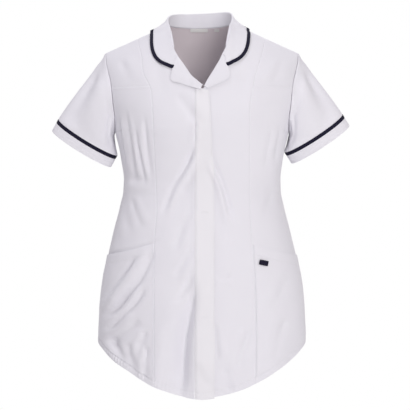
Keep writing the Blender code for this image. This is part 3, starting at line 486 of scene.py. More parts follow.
# ==== grids
class Grid:
    """Points of a piece's outer face, row by row, with normals and distances to its edges.

    around says that each row is a ring; the normals point the way of facing."""

    def __init__(self, skin, around=False, facing=None):
        self.skin = skin
        self.around = around
        self.facing = facing
        self.measure()

    def measure(self):
        """Sets the normals and the distance of every point from each of the four edges."""
        down = np.gradient(self.skin, axis=0)
        if self.around:
            across = np.roll(self.skin, -1, axis=1) - np.roll(self.skin, 1, axis=1)
        else:
            across = np.gradient(self.skin, axis=1)
        self.normal = unit(np.cross(down, across))
        if self.facing is not None and np.sum(self.normal * self.facing) < 0:
            self.normal = -self.normal
        across = np.linalg.norm(np.diff(self.skin, axis=1), axis=2)
        self.first = np.pad(np.cumsum(across, axis=1), ((0, 0), (1, 0)))
        self.last = self.first[:, -1:] - self.first
        down = np.linalg.norm(np.diff(self.skin, axis=0), axis=2)
        self.top = np.pad(np.cumsum(down, axis=0), ((1, 0), (0, 0)))
        self.foot = self.top[-1:] - self.top

    def raise_by(self, height):
        """Moves the outer face along its normals."""
        self.skin = self.skin + self.normal * height[..., None]
        self.measure()

    def line(self, edge, distance):
        """Points and normals of the line inside the piece, parallel to one of its edges."""
        fields = getattr(self, edge), self.skin, self.normal
        level = edge in ("top", "foot")
        if level:
            fields = [field.swapaxes(0, 1) for field in fields]
        points, normals = [], []
        for d, p, n in zip(*fields):
            if d[0] > d[-1]:
                d, p, n = d[::-1], p[::-1], n[::-1]
            if d[-1] >= distance:
                points.append(read(p, d, distance))
                normals.append(read(n, d, distance))
        if self.around and level:
            points.append(points[0])
            normals.append(normals[0])
        return np.array(points), unit(np.array(normals))


def spread(length, step, ends=(0.0, 0.8, 1.8, 3.2)):
    """Shares from 0 to 1 of a usual length, closer together at both ends."""
    middle = length - 2 * ends[-1]
    inner = ends[-1] + np.linspace(0, middle, max(int(round(middle / step)), 2) + 1)
    outer = length - np.array(ends[:-1])[::-1]
    return np.concatenate([ends[:-1], inner, outer]) / length


def down_to_hem(length, step=STEP):
    """Shares from the top to the hem, closer together at the turned hem's stitching."""
    close = np.array([0.0, 0.9, 2.2, 4.5, 7.5, 10.5, 12.2, 13.1, 13.9, 14.8, 16.6, 19.5])
    start = np.array([0.0, 0.9, 2.0])
    middle = length - close[-1] - start[-1]
    inner = start[-1] + np.linspace(0, middle, int(round(middle / step)) + 1)[1:-1]
    return np.concatenate([start, inner, length - close[::-1]]) / length


def panel(inner, outer, top, foot, across, down, side=1.0):
    """Grid of a panel between two seams, each given as an angle at a height.

    top and foot are heights as functions of x, or the turn itself; across and down are the
    shares at which its points lie; side is 1 at the front and -1 at the back."""
    u = across[None, :]

    def angle_of(z):
        return (1 - u) * inner(z) + u * outer(z)

    def reach(end):
        if isinstance(end, float):
            return end
        z = end(0 * u)
        for _ in range(SETTLE):
            x = width(z) * np.sin(angle_of(z))
            z = 0.4 * z + 0.6 * end(x)
        return turn_of(ridge(x) - z)
    start, finish = reach(top), reach(foot)
    turns = start + (finish - start) * down[:, None] + 0 * u
    z = -60.0 - drop(turns)
    for _ in range(SETTLE):
        z = 0.4 * z + 0.6 * (ridge(width(z) * np.sin(angle_of(z))) - drop(turns))
    angles = angle_of(z)
    plain, normal = body(angles, side * turns)
    skin = plain + normal * relief(plain, angles, side * turns)[..., None]
    return Grid(skin, facing=normal)


def seam_angle(rows, shift=0.0):
    """A seam from its table, moved sideways by shift."""
    return lambda z: angle_at(along(rows, z) + shift, z)


def side_angle(side, shift=0.0):
    """Side seam below the underarm, armhole edge above it."""
    limit = np.pi / 2 - shift / SIDE_RADIUS

    def angle(z):
        edge = np.minimum(angle_at(along(ARMHOLE, z), z), limit)
        return side * np.where(z <= UNDERARM, limit, edge)
    return angle


def at_height(z_end):
    return lambda x: z_end + 0 * x


def pull_seam(grid, *edges, deep=SEAM_DEEP):
    """A seam at these edges draws the cloth in, with small puckers beside it."""
    height = 0.0
    for edge in edges:
        gap = getattr(grid, edge)
        run = grid.top if edge in ("first", "last") else grid.first
        pucker = np.sin(run / 2.3 + 1.7 * np.sin(run / 17.0)) * unevenness(grid.skin, 33.0)
        height = height - deep * bell(gap, 1.1) + 0.30 * pucker * bell(gap - 3.0, 4.0)
    grid.raise_by(height)


def turn_hem(grid, strength=0.5):
    """The turned-up hem: a stitched groove, a fuller edge and puckers between them."""
    gap, run = grid.foot, grid.first
    pucker = np.sin(run / 1.25 + 2.0 * np.sin(run / 23.0))
    pucker = pucker * (0.9 + 0.6 * unevenness(grid.skin, 40.0))
    height = -0.20 * bell(gap - HEM_DEEP, 1.3) + 0.35 * ramp(HEM_DEEP - gap, 0.5, 3.0)
    height = height + strength * pucker * bell(gap - HEM_DEEP + 6.0, 8.5)
    grid.raise_by(height)


def hem_wall(grid):
    """Thickness of a panel: one layer, and more where the hem is turned up."""
    return CLOTH + (TURNED - CLOTH) * ramp(HEM_DEEP + 0.6 - grid.foot, 0.0, 1.2)


# ==== materials
def fill(tree, node, inputs):
    """Gives each input of a node its value, or links it to another node's output."""
    for key, value in inputs.items():
        if isinstance(value, bpy.types.NodeSocket):
            tree.links.new(value, node.inputs[key])
        else:
            node.inputs[key].default_value = value


def add(tree, kind, inputs, **settings):
    """Adds a node with its settings and inputs."""
    node = tree.nodes.new("ShaderNode" + kind)
    for key, value in settings.items():
        setattr(node, key, value)
    fill(tree, node, inputs)
    return node


def new_material(name):
    material = bpy.data.materials.new(name)
    material.use_nodes = True
    tree = material.node_tree
    return material, tree, tree.nodes["Principled BSDF"]


def between(tree, factor, one, two):
    """A colour that changes from one to the other with the factor."""
    mix = add(tree, "Mix", {"Factor": factor, "A": (*one, 1.0), "B": (*two, 1.0)},
              data_type="RGBA")
    return mix.outputs["Result"]


def woven(name, colour, shade, threads, bump, rough, sheen, shine=0.28):
    """Plain-weave cloth: crossing threads as bump, slow changes of tone and of roughness."""
    material, tree, shader = new_material(name)
    flat = add(tree, "UVMap", {}, uv_map="weave").outputs["UV"]
    warp, weft = [
        add(tree, "TexWave",
            {"Scale": threads, "Distortion": 0.6, "Detail Scale": 2.0, "Vector": flat},
            wave_type="BANDS", bands_direction=way, wave_profile="SIN").outputs["Fac"]
        for way in "XY"]
    cross = add(tree, "Math", {0: warp, 1: weft}, operation="MULTIPLY")
    where = add(tree, "TexCoord", {}).outputs["Object"]
    slub = add(tree, "TexNoise", {"Scale": 900.0, "Detail": 2.0, "Vector": where}).outputs["Fac"]
    both = add(tree, "Math", {0: cross.outputs[0], 1: slub}, operation="ADD")
    height = add(tree, "Bump",
                 {"Strength": bump, "Distance": 0.00012, "Height": both.outputs[0]})
    tone = add(tree, "TexNoise", {"Scale": 14.0, "Detail": 3.0, "Vector": where}).outputs["Fac"]
    gloss = add(tree, "MapRange", {"To Min": rough - 0.06, "To Max": rough + 0.06, "Value": slub})
    fill(tree, shader, {
        "Normal": height.outputs["Normal"], "Base Color": between(tree, tone, colour, shade),
        "Roughness": gloss.outputs["Result"], "Specular IOR Level": shine,
        "Sheen Weight": sheen, "Sheen Roughness": 0.45})
    return material


def thread(name, colour):
    """Sewing thread: smoother than the cloth, with painted shade in bands along the twist of each
    stitch.
    """
    material, tree, shader = new_material(name)
    where = add(tree, "TexCoord", {}).outputs["Object"]
    # Darker diagonal bands: painted shade in the grooves of the twist.
    twist_shade = add(tree, "TexWave", {"Scale": 1500.0, "Vector": where}, bands_direction="DIAGONAL")
    shade = [0.9 * c for c in colour]
    fill(tree, shader, {"Base Color": between(tree, twist_shade.outputs["Fac"], colour, shade),
                        "Roughness": 0.55})
    return material


# Doubled cloth shows whiter than a single layer over the dark inside: this lighter copy of the
# cloth is painted light for the doubled placket band.
DOUBLED_PAINTED_LIGHTER = woven("white_cloth_doubled_painted_lighter", (0.85, 0.845, 0.875), (0.83, 0.825, 0.86), 330.0, 0.35,
               0.82, 0.12)
WHITE = woven("white_cloth", (0.83, 0.825, 0.87), (0.80, 0.795, 0.845), 330.0, 0.35, 0.82, 0.12)
NAVY = woven("navy_cloth", (0.007, 0.006, 0.019), (0.011, 0.010, 0.027), 260.0, 0.5, 0.80, 0.03,
             0.16)
# The wrong side of the cloth, seen only inside the back: a darker, warmer copy of the white
# cloth, painted shade for the shade inside the tunic.
INSIDE_PAINTED_SHADE = woven("white_cloth_inside_painted_shade", (0.80, 0.735, 0.765), (0.77, 0.70, 0.73), 330.0, 0.35,
              0.88, 0.05)
LABEL = woven("label_cloth", (0.92, 0.92, 0.90), (0.86, 0.86, 0.85), 700.0, 0.3, 0.5, 0.0)
THREAD = thread("white_thread", (0.84, 0.84, 0.87))


def shell(name, grid, wall, material, inside=None):
    """A cloth piece for the solid of this name: the grid as its outer face, a second face
    under it and its edges. The second face can have a material of its own."""
    rows, columns = grid.skin.shape[:2]
    thick = np.broadcast_to(wall, (rows, columns))
    lining = grid.skin - grid.normal * thick[..., None]
    points = np.concatenate([grid.skin.reshape(-1, 3), lining.reshape(-1, 3)]) * MM
    n = rows * columns
    index = np.arange(n).reshape(rows, columns)
    if grid.around:
        index = np.hstack([index, index[:, :1]])
    a, b, c, d = index[:-1, :-1], index[:-1, 1:], index[1:, 1:], index[1:, :-1]
    quads = [(a, b, c, d), (n + a, n + d, n + c, n + b), (a[0], n + a[0], n + b[0], b[0]),
             (d[-1], c[-1], n + c[-1], n + d[-1])]
    if not grid.around:
        quads += [(a[:, 0], d[:, 0], n + d[:, 0], n + a[:, 0]),
                  (b[:, -1], n + b[:, -1], n + c[:, -1], c[:, -1])]
    faces = np.concatenate([np.stack([part.ravel() for part in quad], 1) for quad in quads])
    corner = grid.skin[0, 0]
    turned = np.cross(grid.skin[0, 1] - corner, grid.skin[1, 0] - corner)
    if np.dot(turned, grid.normal[0, 0]) < 0:
        faces = faces[:, ::-1]
    mesh = bpy.data.meshes.new(name + "_cloth")
    mesh.from_pydata(points.tolist(), [], faces.tolist())
    mesh.update()
    threads = mesh.uv_layers.new(name="weave")
    flat = np.stack([grid.first, grid.top], -1).reshape(-1, 2) * MM
    flat = np.concatenate([flat, flat])
    index = np.zeros(len(mesh.loops), int)
    mesh.loops.foreach_get("vertex_index", index)
    threads.data.foreach_set("uv", flat[index].ravel())
    mesh.shade_smooth()
    mesh.set_sharp_from_angle(angle=np.radians(55))
    piece = place(name + "_cloth", mesh, material)
    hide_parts(name)
    if inside:
        mesh.materials.append(inside)
        under = np.zeros(len(mesh.polygons), int)
        under[a.size:2 * a.size] = 1
        mesh.polygons.foreach_set("material_index", under)


def place(name, mesh, material):
    """Adds a mesh as a piece of the tunic."""
    piece = bpy.data.objects.new(name, mesh)
    piece.data.materials.append(material)
    bpy.context.scene.collection.objects.link(piece)
    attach(piece, "root")
    return piece


PITCH, STITCH, THREAD_HALF = 3.2, 2.3, 0.30    # of the stitches: step, length, half width


def sewn(name, lines):
    """Rows of stitches: each a small grain of thread half sunk in the cloth."""
    points, faces = [], []
    for line, normal in lines:
        run = run_of(line)
        count = int(run[-1] / PITCH)
        if count < 1:
            continue
        at = (np.arange(count) + 0.5) * run[-1] / count
        head, tail = read(line, run, at - STITCH / 2), read(line, run, at + STITCH / 2)
        up = unit(read(normal, run, at))
        way = unit(tail - head)
        side = unit(np.cross(up, way))
        for k in range(count):
            start = len(points)
            points.append(head[k] - up[k] * 0.15)
            for t in (0.25, 0.75):
                middle = head[k] + (tail[k] - head[k]) * t + up[k] * 0.10
                for turn in range(4):
                    arm = np.cos(turn * np.pi / 2) * side[k] + np.sin(turn * np.pi / 2) * up[k]
                    points.append(middle + arm * THREAD_HALF)
            points.append(tail[k] - up[k] * 0.15)
            for turn in range(4):
                a, b = start + 1 + turn, start + 1 + (turn + 1) % 4
                faces.append((start, b, a))
                faces.append((a, b, b + 4, a + 4))
                faces.append((a + 4, b + 4, start + 9))
    mesh = bpy.data.meshes.new(name)
    mesh.from_pydata((np.array(points) * MM).tolist(), [], faces)
    mesh.update()
    mesh.shade_smooth()
    place(name, mesh, THREAD)


# ==== fronts and back, where the lengths given to spread and down_to_hem set how many points
# a piece has
def finish_front(grid, name, strength):
    """The seams and the hem of a centre front."""
    pull_seam(grid, "last")
    pull_seam(grid, "top", deep=0.5)
    turn_hem(grid, strength)
    shell(name, grid, hem_wall(grid), WHITE)
    return grid


def centre_front_right():
    inner, outer = seam_angle(EDGE_RIGHT), seam_angle(PRINCESS_RIGHT, GAP / 2)
    grid = panel(inner, outer, SHOULDER_TURN, hem, spread(98.0, 2.2), down_to_hem(820.0))
    # Along the placket the front is folded, so it stands a little higher there.
    folded = grid.skin[..., 2] < FOLD_TOP
    grid.raise_by(np.where(folded, ramp(9.0 - grid.first, 0.0, 7.0), 0.0))
    return finish_front(grid, "centre_front_right", 0.5)


def centre_front_left():
    inner, outer = seam_angle(EDGE_LEFT), seam_angle(PRINCESS_LEFT, -GAP / 2)

    def foot(x):
        return hem(x) + HEM_STEP * np.maximum(0, 1 - np.abs(x) / 90)
    grid = panel(inner, outer, SHOULDER_TURN, foot, spread(112.0, 2.2), down_to_hem(820.0))
    return finish_front(grid, "centre_front_left", 0.35)


def side_front(side, princess, label):
    """The yoke above the fine horizontal seam and the long side panel below it."""
    inner = seam_angle(princess, side * GAP / 2)
    outer = side_angle(side, GAP / 5)
    yoke = panel(inner, outer, SHOULDER_TURN, at_height(YOKE_LINE), spread(88.0, 3.0),
                 spread(118.0, 3.0))
    pull_seam(yoke, "first", "last", "top")
    shell("yoke_" + label, yoke, CLOTH, WHITE)
    grid = panel(inner, outer, at_height(YOKE_LINE - GAP / 4), hem, spread(158.0, 1.9),
                 down_to_hem(610.0))
    pull_seam(grid, "first", "last")
    # Its top edge is turned in, which lifts it below the fine seam.
    grid.raise_by(0.75 * bell(grid.top - 2.6, 2.2))
    # The hem puckers more on the wearer's right, and not beside the princess seam.
    turn_hem(grid, 0.4 + (1.0 if side < 0 else 0.2) * ramp(grid.first, 12.0, 45.0))
    shell("side_front_" + label, grid, hem_wall(grid), WHITE)
    return yoke, grid


def back():
    one, two = side_angle(-1.0, GAP / 5), side_angle(1.0, GAP / 5)

    def top(x):
        at_neck = (x > NECK_RIGHT) & (x < NECK_LEFT)
        shoulder = ridge(x) - SHOULDER_DROP
        return np.where(at_neck, np.minimum(along(BACK_NECK, x), shoulder), shoulder)
    grid = panel(one, two, top, hem, spread(600.0, 2.9), down_to_hem(800.0, 4.0), side=-1.0)
    pull_seam(grid, "first", "last")
    pull_seam(grid, "top", deep=0.4)
    turn_hem(grid)
    # Its inner faces get the darker, warmer copy of the cloth: painted shade of the inside.
    shell("back", grid, hem_wall(grid), WHITE, inside=INSIDE_PAINTED_SHADE)
    return grid


RIGHT = centre_front_right()
LEFT = centre_front_left()
YOKE_R, SIDE_R = side_front(-1.0, PRINCESS_RIGHT, "right")
YOKE_L, SIDE_L = side_front(1.0, PRINCESS_LEFT, "left")
BACK = back()


# ==== placket and pockets
def placket():
    """The band over the fastening: sewn down on the wearer's right, a free fold on the left."""
    left = seam_angle(((-800.0, PLACKET_LEFT), (0.0, PLACKET_LEFT)))
    grid = panel(left, seam_angle(PLACKET_EDGE), lambda x: along(PLACKET_TOP, x), hem,
                 spread(38.0, 2.6), down_to_hem(640.0))
    low, high = 0.9, ON_TOP + 0.3
    lift = low + (high - low) * ramp(grid.first, 0.0, 7.0)
    # A groove and a roll beside the sewn edge, a fuller fold on the free one.
    lift = lift + 0.55 * bell(grid.first - 4.5, 2.2) - 0.45 * bell(grid.first - 1.0, 0.9)
    lift = lift + 0.5 * bell(grid.last, 3.0)
    grid.raise_by(lift)
    turn_hem(grid, 0.2)
    # Its lighter copy of the cloth is painted light of the doubled layer.
    shell("placket_band", grid, hem_wall(grid), DOUBLED_PAINTED_LIGHTER)
    return grid


def pocket(side, princess, label):
    """A pocket of the side panel's width with a slanting mouth, caught in three seams."""
    inner = seam_angle(princess, side * 2.2)
    outer = side_angle(side, 14.0)

    def top(x):
        return along(POCKET_TOP, np.abs(x))
    grid = panel(inner, outer, top, lambda x: hem(x) + POCKET_FOOT, spread(128.0, 3.0),
                 spread(262.0, 3.0, (0.0, 0.9, 2.0, 3.6)))
    # The mouth stands off; its hem and the seams that hold the pocket are grooves.
    high = 1.25 + 0.9 * bell(grid.top, 16.0) * ramp(grid.first, 0, 25.0)
    high = high - 0.35 * bell(grid.top - POCKET_HEM, 1.3)
    rim = np.minimum(np.minimum(grid.first, grid.last), grid.foot)
    high = high - 0.35 * bell(rim - 2.0, 1.2)
    grid.raise_by(high)
    wall = CLOTH + 0.5 * ramp(POCKET_HEM + 1.0 - grid.top, 0.0, 1.5)
    shell("pocket_" + label, grid, wall * 0.8, WHITE)
    return grid


PLACKET = placket()
POCKET_R = pocket(-1.0, PRINCESS_RIGHT, "right")
POCKET_L = pocket(1.0, PRINCESS_LEFT, "left")


def plate(name, x, z, wide, high, turn, side, out, wall, material, slot, puff):
    """A small tab or label on the cloth, turned in its own plane; side is 1 at the front.

    A negative out puts it on the inside; puff is how much its middle stands out."""
    across, down = np.meshgrid(np.linspace(-wide / 2, wide / 2, 16),
                               np.linspace(high / 2, -high / 2, 10))
    corner = 1.0 - 0.04 * (np.abs(across) * 2 / wide) ** 6 * (np.abs(down) * 2 / high) ** 6
    across, down = across * corner, down * corner
    xs = x + across * np.cos(turn) - down * np.sin(turn)
    zs = z + across * np.sin(turn) + down * np.cos(turn)
    angle, turned = angle_at(xs, zs), side * turn_of(ridge(xs) - zs)
    plain, normal = body(angle, turned)
    rim = np.minimum(wide / 2 - np.abs(across), high / 2 - np.abs(down))
    lift = relief(plain, angle, turned) + out + np.sign(out) * puff * ramp(rim, 0.0, 2.0)
    grid = Grid(plain + normal * lift[..., None], facing=normal * np.sign(out))
    shell(name, grid, wall, material)


plate("pocket_tab", *TAB, 1.0, 4.3, 1.3, NAVY, "navy_trim", 0.4)
for label_name, place_and_size in (("neck_label", NECK_LABEL), ("size_label", SIZE_LABEL)):
    plate(label_name, *place_and_size, 0.0, -1.0, LABEL_OFF, 0.5, LABEL, "label", 0.2)


# ==== sleeves
def armhole_ring(side):
    """Points and body normals round the armhole: top, front, underarm, back."""
    out = []
    for way in (1.0, -1.0):
        turns = np.linspace(1e-5, float(turn_of(ridge(186.0) - UNDERARM)), 500)
        z = -60.0 + 0 * turns
        for _ in range(30):
            z = ridge(along(ARMHOLE, z)) - drop(turns)
        angle = side * np.minimum(angle_at(along(ARMHOLE, z), z), np.pi / 2)
        p, n = body(angle, way * turns)
        run = run_of(p)
        even = np.linspace(0, run[-1], ARM_STEPS + 1)
        out.append((read(p, run, even), unit(read(n, run, even))))
    (fp, fn), (bp, bn) = out
    points = np.concatenate([fp, bp[ARM_STEPS - 1:0:-1]])
    return points, np.concatenate([fn, bn[ARM_STEPS - 1:0:-1]])


def bend(start, one, two, end, t):
    """Point at t of the curve from start to end that one and two pull on."""
    return ((1 - t) ** 3 * start + 3 * t * (1 - t) ** 2 * one
            + 3 * t * t * (1 - t) * two + t ** 3 * end)


def sleeve(row, label):
    """A sleeve from the armhole to its trim, the trim and the cuff; returns the cuff."""
    side, cx, cy, cz, hx, hz, deep, ax, az = row
    hole, lie = armhole_ring(side)
    count = len(hole)
    theta = np.arange(count) * 2 * np.pi / count
    axis = unit(np.array([ax, 0.0, az]))
    cos, sin = np.cos(theta)[:, None], np.sin(theta)[:, None]

    def ring(beyond):
        out = np.array([cx, cy, cz]) + cos * np.array([hx, 0.0, hz])
        out = out + sin * np.array([0.0, -deep, 0.0]) + sin * FRONT_DIP * axis
        return out + beyond * axis
    end = ring(-TRIM / 2 - GAP)
    chord = unit(end - hole)
    puff = lie - dot(lie, chord) * chord
    puff = puff * (np.sin(theta) ** 2)[:, None] * 0.40
    under = ((1 - np.cos(theta)) / 2)[:, None] ** 2
    clear = under * np.array([side * 0.5, 0.0, 0.0])    # of the side panel, under the arm
    start = hole + chord * (GAP + 0.15) + clear
    leave = unit(chord + puff + clear)
    reach = np.linalg.norm(end - start, axis=1, keepdims=True)
    one = start + leave * reach * 0.35
    two = end - axis * reach * (0.13 - 0.07 * under)
    shares = spread(190.0, 3.2)
    skin = np.array([bend(start, one, two, end, t) for t in shares])
    grid = Grid(skin, True, skin - skin.mean(axis=1, keepdims=True))
    around = np.degrees(theta)[None, :] + 0 * shares[:, None]
    lines = [(np.reshape(line, (-1, 2)) * (TO_DEGREE, -SLEEVE_LONG), *rest)
             for line, *rest in SLEEVE_CREASES]
    along_it = -SLEEVE_LONG * shares[:, None] + 0 * around
    height = creases(around * TO_DEGREE, along_it, lines)
    height = height + creases((around - 360.0) * TO_DEGREE, along_it, lines)
    fade = ramp(shares, 0.0, 0.05) * ramp(1 - shares, 0.0, 0.12)
    inside = 1 - 0.65 * bell(around - 180.0, 42.0)
    height = height * fade[:, None] * inside
    height = height + 0.5 * unevenness(grid.skin + 90.0, 36.0) * fade[:, None] * inside
    # The cloth rises over the seam allowance beside the armhole, then sinks.
    rise = 1.8 * bell(grid.top - 1.5, 5.0) - 2.6 * bell(grid.top - 17.0, 10.0)
    height = height + rise * inside * (0.6 + 0.5 * unevenness(grid.skin, 60.0))
    grid.raise_by(height)
    pull_seam(grid, "top", deep=0.7)
    pull_seam(grid, "foot", deep=0.3)
    shell("sleeve_" + label, grid, CLOTH, WHITE)

    def band(name, start, foot, raised, material, grooves=()):
        """A raised band round the sleeve, from start to foot along its axis."""
        lanes = start + spread(foot - start, 1.5, (0.0, 0.5, 1.2)) * (foot - start)
        points = np.array([ring(s) for s in lanes])
        tube = Grid(points, True, points - points.mean(axis=1, keepdims=True))
        height = raised * ramp(np.minimum(tube.top, tube.foot), 0.0, 0.9)
        pucker = np.sin(tube.first / 1.4) * unevenness(tube.skin, 24.0)
        for groove in grooves:
            height = height - 0.32 * bell(tube.top - groove, 1.3)
            height = height + 0.35 * pucker * bell(tube.top - groove, 3.5)
        tube.raise_by(height)
        shell(name, tube, 1.3, material)
        return tube
    band("cuff_trim_" + label, -TRIM / 2, TRIM / 2, 0.45, NAVY)
    return band("cuff_" + label, TRIM / 2 + GAP, TRIM / 2 + GAP + CUFF, 0.3, WHITE,
                CUFF_GROOVES)


CUFF_R, CUFF_L = sleeve(SLEEVES[0], "right"), sleeve(SLEEVES[1], "left")


# ==== collar
def neck_seam(side, i):
    """Points on the neck seam beside rows i of the collar tables, and the normals there."""
    z = np.interp(i, range(RIDGE_ROW, FRONT_ROW + 1), NECK_FRONT) + side * NECK_TILT * 60
    z = np.minimum(z, np.where(side < 0, *NECK_TOP))
    x = np.where(side < 0, along(EDGE_RIGHT, z), along(EDGE_LEFT, z))
    t = turn_of(ridge(x) - z)
    behind = NECK_SHIFT + side * np.interp(i, range(RIDGE_ROW + 1), NECK_BACK)
    height = along(BACK_NECK, behind)
    front = i >= RIDGE_ROW
    x = np.where(front, x, behind)
    t = np.where(front, t, -turn_of(ridge(behind) - height))
    z = np.where(front, z, height)
    return body(angle_at(x, z), t)


def off_body(q, clear):
    """The points moved out, where they need it, to a distance from the body."""
    for way in (1.0, -1.0):
        turn = turn_of(ridge(q[:, 0]) - q[:, 2])
        p, n = body(angle_at(q[:, 0], q[:, 2]), way * turn)
        short = clear - dot(q - p, n)
        own = ramp(-way * q[:, 1], -14.0, 6.0)[:, None]
        q = q + n * np.clip(short, 0, 12.0) * own
    return q


def collar_end(side, i):
    """Points on the collar's outer edge beside rows i of the tables, and the normals."""
    # Each point is the mean of several beside it, so that the edge is smooth.
    reach = np.minimum(FRONT_ROW - i, 0.7 + 1.1 * ramp(7.0 - i, 0.0, 2.0))
    ends, normals = [], []
    for share in np.linspace(-1, 1, 11):
        row = i + share * reach
        table = through(COLLAR_EDGE, np.abs(row) / FRONT_ROW)
        way = np.where(row < 0, -side, side)
        x = NECK_SHIFT + way * table[:, 0]
        z = ridge(table[:, 0]) - drop(table[:, 1]) + way * NECK_TILT * table[:, 0]
        turn = turn_of(ridge(x) - z) * np.where(table[:, 1] >= 0, 1, -1)
        p, n = body(angle_at(x, z), turn)
        ends.append(p + n * COLLAR_OFF)
        normals.append(n)
    p, n = np.mean(ends, axis=0), unit(np.mean(normals, axis=0))
    return off_body(p, COLLAR_OFF), n


def collar():
    """The collar from its neck seam up over the roll and down, and the trim on its edge."""
    half = np.linspace(0, FRONT_ROW, COLLAR_HALF)
    i = np.concatenate([half[::-1], half[1:]])
    side = np.concatenate([-np.ones(COLLAR_HALF), np.ones(COLLAR_HALF - 1)])

    def roll(row):
        table = through(COLLAR_ROLL, row / FRONT_ROW)
        return np.stack([side * table[:, 0], table[:, 1],
                         table[:, 2] + side * NECK_TILT * table[:, 0]], -1)
    edge = roll(i) + np.array([NECK_SHIFT, 0, 0])
    # Towards its front end the roll lies on the body.
    flat = ramp(i, 7.0, 9.0)[:, None]
    x, z = edge[:, 0], edge[:, 2]
    p, n = body(angle_at(x, z), turn_of(ridge(x) - z))
    edge = (1 - flat) * edge + flat * (p + n * 0.3)
    tangent = unit(roll(np.minimum(i + 0.3, FRONT_ROW)) - roll(np.maximum(i - 0.3, 0)))
    end, lie = collar_end(side, i)
    ahead = (collar_end(side, np.minimum(i + 0.1, FRONT_ROW))[0]
             - collar_end(side, np.maximum(i - 0.1, 0))[0])
    seam, seam_normal = neck_seam(side, i)
    level = np.clip((i - 6.5) / 1.5, 0, 1)[:, None]
    toward = edge - seam
    toward = unit(toward - dot(toward, tangent) * tangent)
    neck = seam + toward * (0.8 + 0.3 * level) - seam_normal * 1.2 * level
    down = unit(neck - edge) * 0.35 + unit(end - edge) * 0.65
    up = -unit(down - dot(down, tangent) * tangent)
    out = unit(np.cross(tangent, up))
    out = np.where(dot(out, end - neck) < 0, -out, out)
    centre = edge - up * ROLL
    inner, outer = centre - out * ROLL, centre + out * ROLL
    columns = [neck + (inner - neck) * t for t in np.linspace(0, 1, 12)[:-1]]
    columns += [centre - out * ROLL * np.cos(a) + up * ROLL * np.sin(a)
                for a in np.linspace(0, np.pi, 9)[:-1]]
    reach = np.linalg.norm(end - outer, axis=1, keepdims=True)
    slant = np.linalg.norm(np.cross(unit(ahead), unit(end - outer)), axis=1, keepdims=True)
    start = 1 - TRIM / reach / np.maximum(slant, 0.55)
    one = outer - up * reach * 0.35
    two = end + (edge - end) * 0.3 + lie * 1.5

    def fall(t):
        return off_body(bend(outer, one, two, end, t), ON_TOP + 1.0)
    last = start - GAP / reach
    columns += [fall(last * share) for share in spread(40.0, 1.7, (0.0, 0.7, 1.6))]
    skin = np.stack(columns, 1)
    facing = np.zeros_like(skin)
    facing[:, -1] = lie
    grid = Grid(skin, facing=facing)
    soft = ramp(grid.last, 0.0, 8.0) * ramp(grid.first, 2.0, 16.0)
    grid.raise_by(0.5 * unevenness(grid.skin, 24.0) * soft - 0.5 * bell(grid.last, 1.4))
    shell("collar", grid, 1.1, WHITE)
    shares = (0, 0.06, 0.2, 0.5, 0.8, 0.95, 1)
    trim = np.stack([fall(start + (1 - start) * t) for t in shares], 1)
    strip = Grid(trim, facing=np.repeat(lie[:, None], len(shares), axis=1))
    strip.raise_by(0.45 * ramp(np.minimum(strip.first, strip.last), 0.0, 1.0))
    shell("collar_trim", strip, 1.3, NAVY)
    return grid


COLLAR = collar()


def lapel(side, table, label):
    """A small turned-back lapel: under the fold a short leg, over it the face."""
    shares = np.linspace(0, 1, 52)
    zr, xr, ze, xe = through(table, shares).T
    fold, leg = 2.6, 5.0
    near, low = xr + side * fold, -CLOTH - 0.2 + 0 * zr
    lanes = [(xr + side * leg, zr, low), (near, zr, low)]
    for a in np.linspace(0.15, 0.85, 6) * np.pi:
        lift = -0.8 - 1.7 * np.cos(a) + 1.2
        lanes.append((near - side * fold * np.sin(a), zr, lift + 0 * zr))
    for t in np.linspace(0, 1, 18):
        puff = 0.6 * t + 1.5 * np.sin(np.pi * t) * ramp(np.abs(xe - near), 4.0, 20.0)
        lanes.append((near + (xe - near) * t, zr + (ze - zr) * t, ON_TOP + 0.1 + puff))
    line = np.stack([np.stack(lane, -1) for lane in lanes], 1)
    x, z, height = line[..., 0], line[..., 1], line[..., 2]
    if side < 0:
        # Near its foot the right lapel rides over the placket band.
        height = height + (ON_TOP + 0.3) * ramp(x, -26.0, -16.0) * ramp(z, -105.0, -113.0)
    # At its top the lapel goes under the end of the collar.
    under = ramp(shares, 0.76, 0.92)[:, None]
    height = height + under * (np.minimum(height, 1.4) - height)
    angle, turn = angle_at(x, z), turn_of(ridge(x) - z)
    plain, normal = body(angle, turn)
    height = height + 0.7 * relief(plain, angle, turn)
    facing = np.zeros_like(plain)
    facing[:, -1] = normal[:, -1]
    grid = Grid(plain + normal * height[..., None], facing=facing)
    shell("lapel_" + label, grid, 1.0, WHITE)
    return grid


LAPEL_R = lapel(-1.0, LAPEL_RIGHT, "right")
LAPEL_L = lapel(1.0, LAPEL_LEFT, "left")


# ==== stitching
def tack(z, wide):
    """A bar tack across the placket: close stitches side by side."""
    middle = 0.5 * (PLACKET_LEFT + along(PLACKET_EDGE, z))
    lines = []
    for step in (-0.7, 0.0, 0.7):
        rows = np.argmin(np.abs(PLACKET.skin[..., 2] - z - step), axis=0)
        nearest = rows, np.arange(len(rows))
        points, normals = PLACKET.skin[nearest], PLACKET.normal[nearest]
        keep = np.abs(points[:, 0] - middle) < wide / 2
        points[:, 2] = points[keep, 2].mean()
        lines.append((points[keep] + np.array([0, 0, step]), normals[keep]))
    return lines


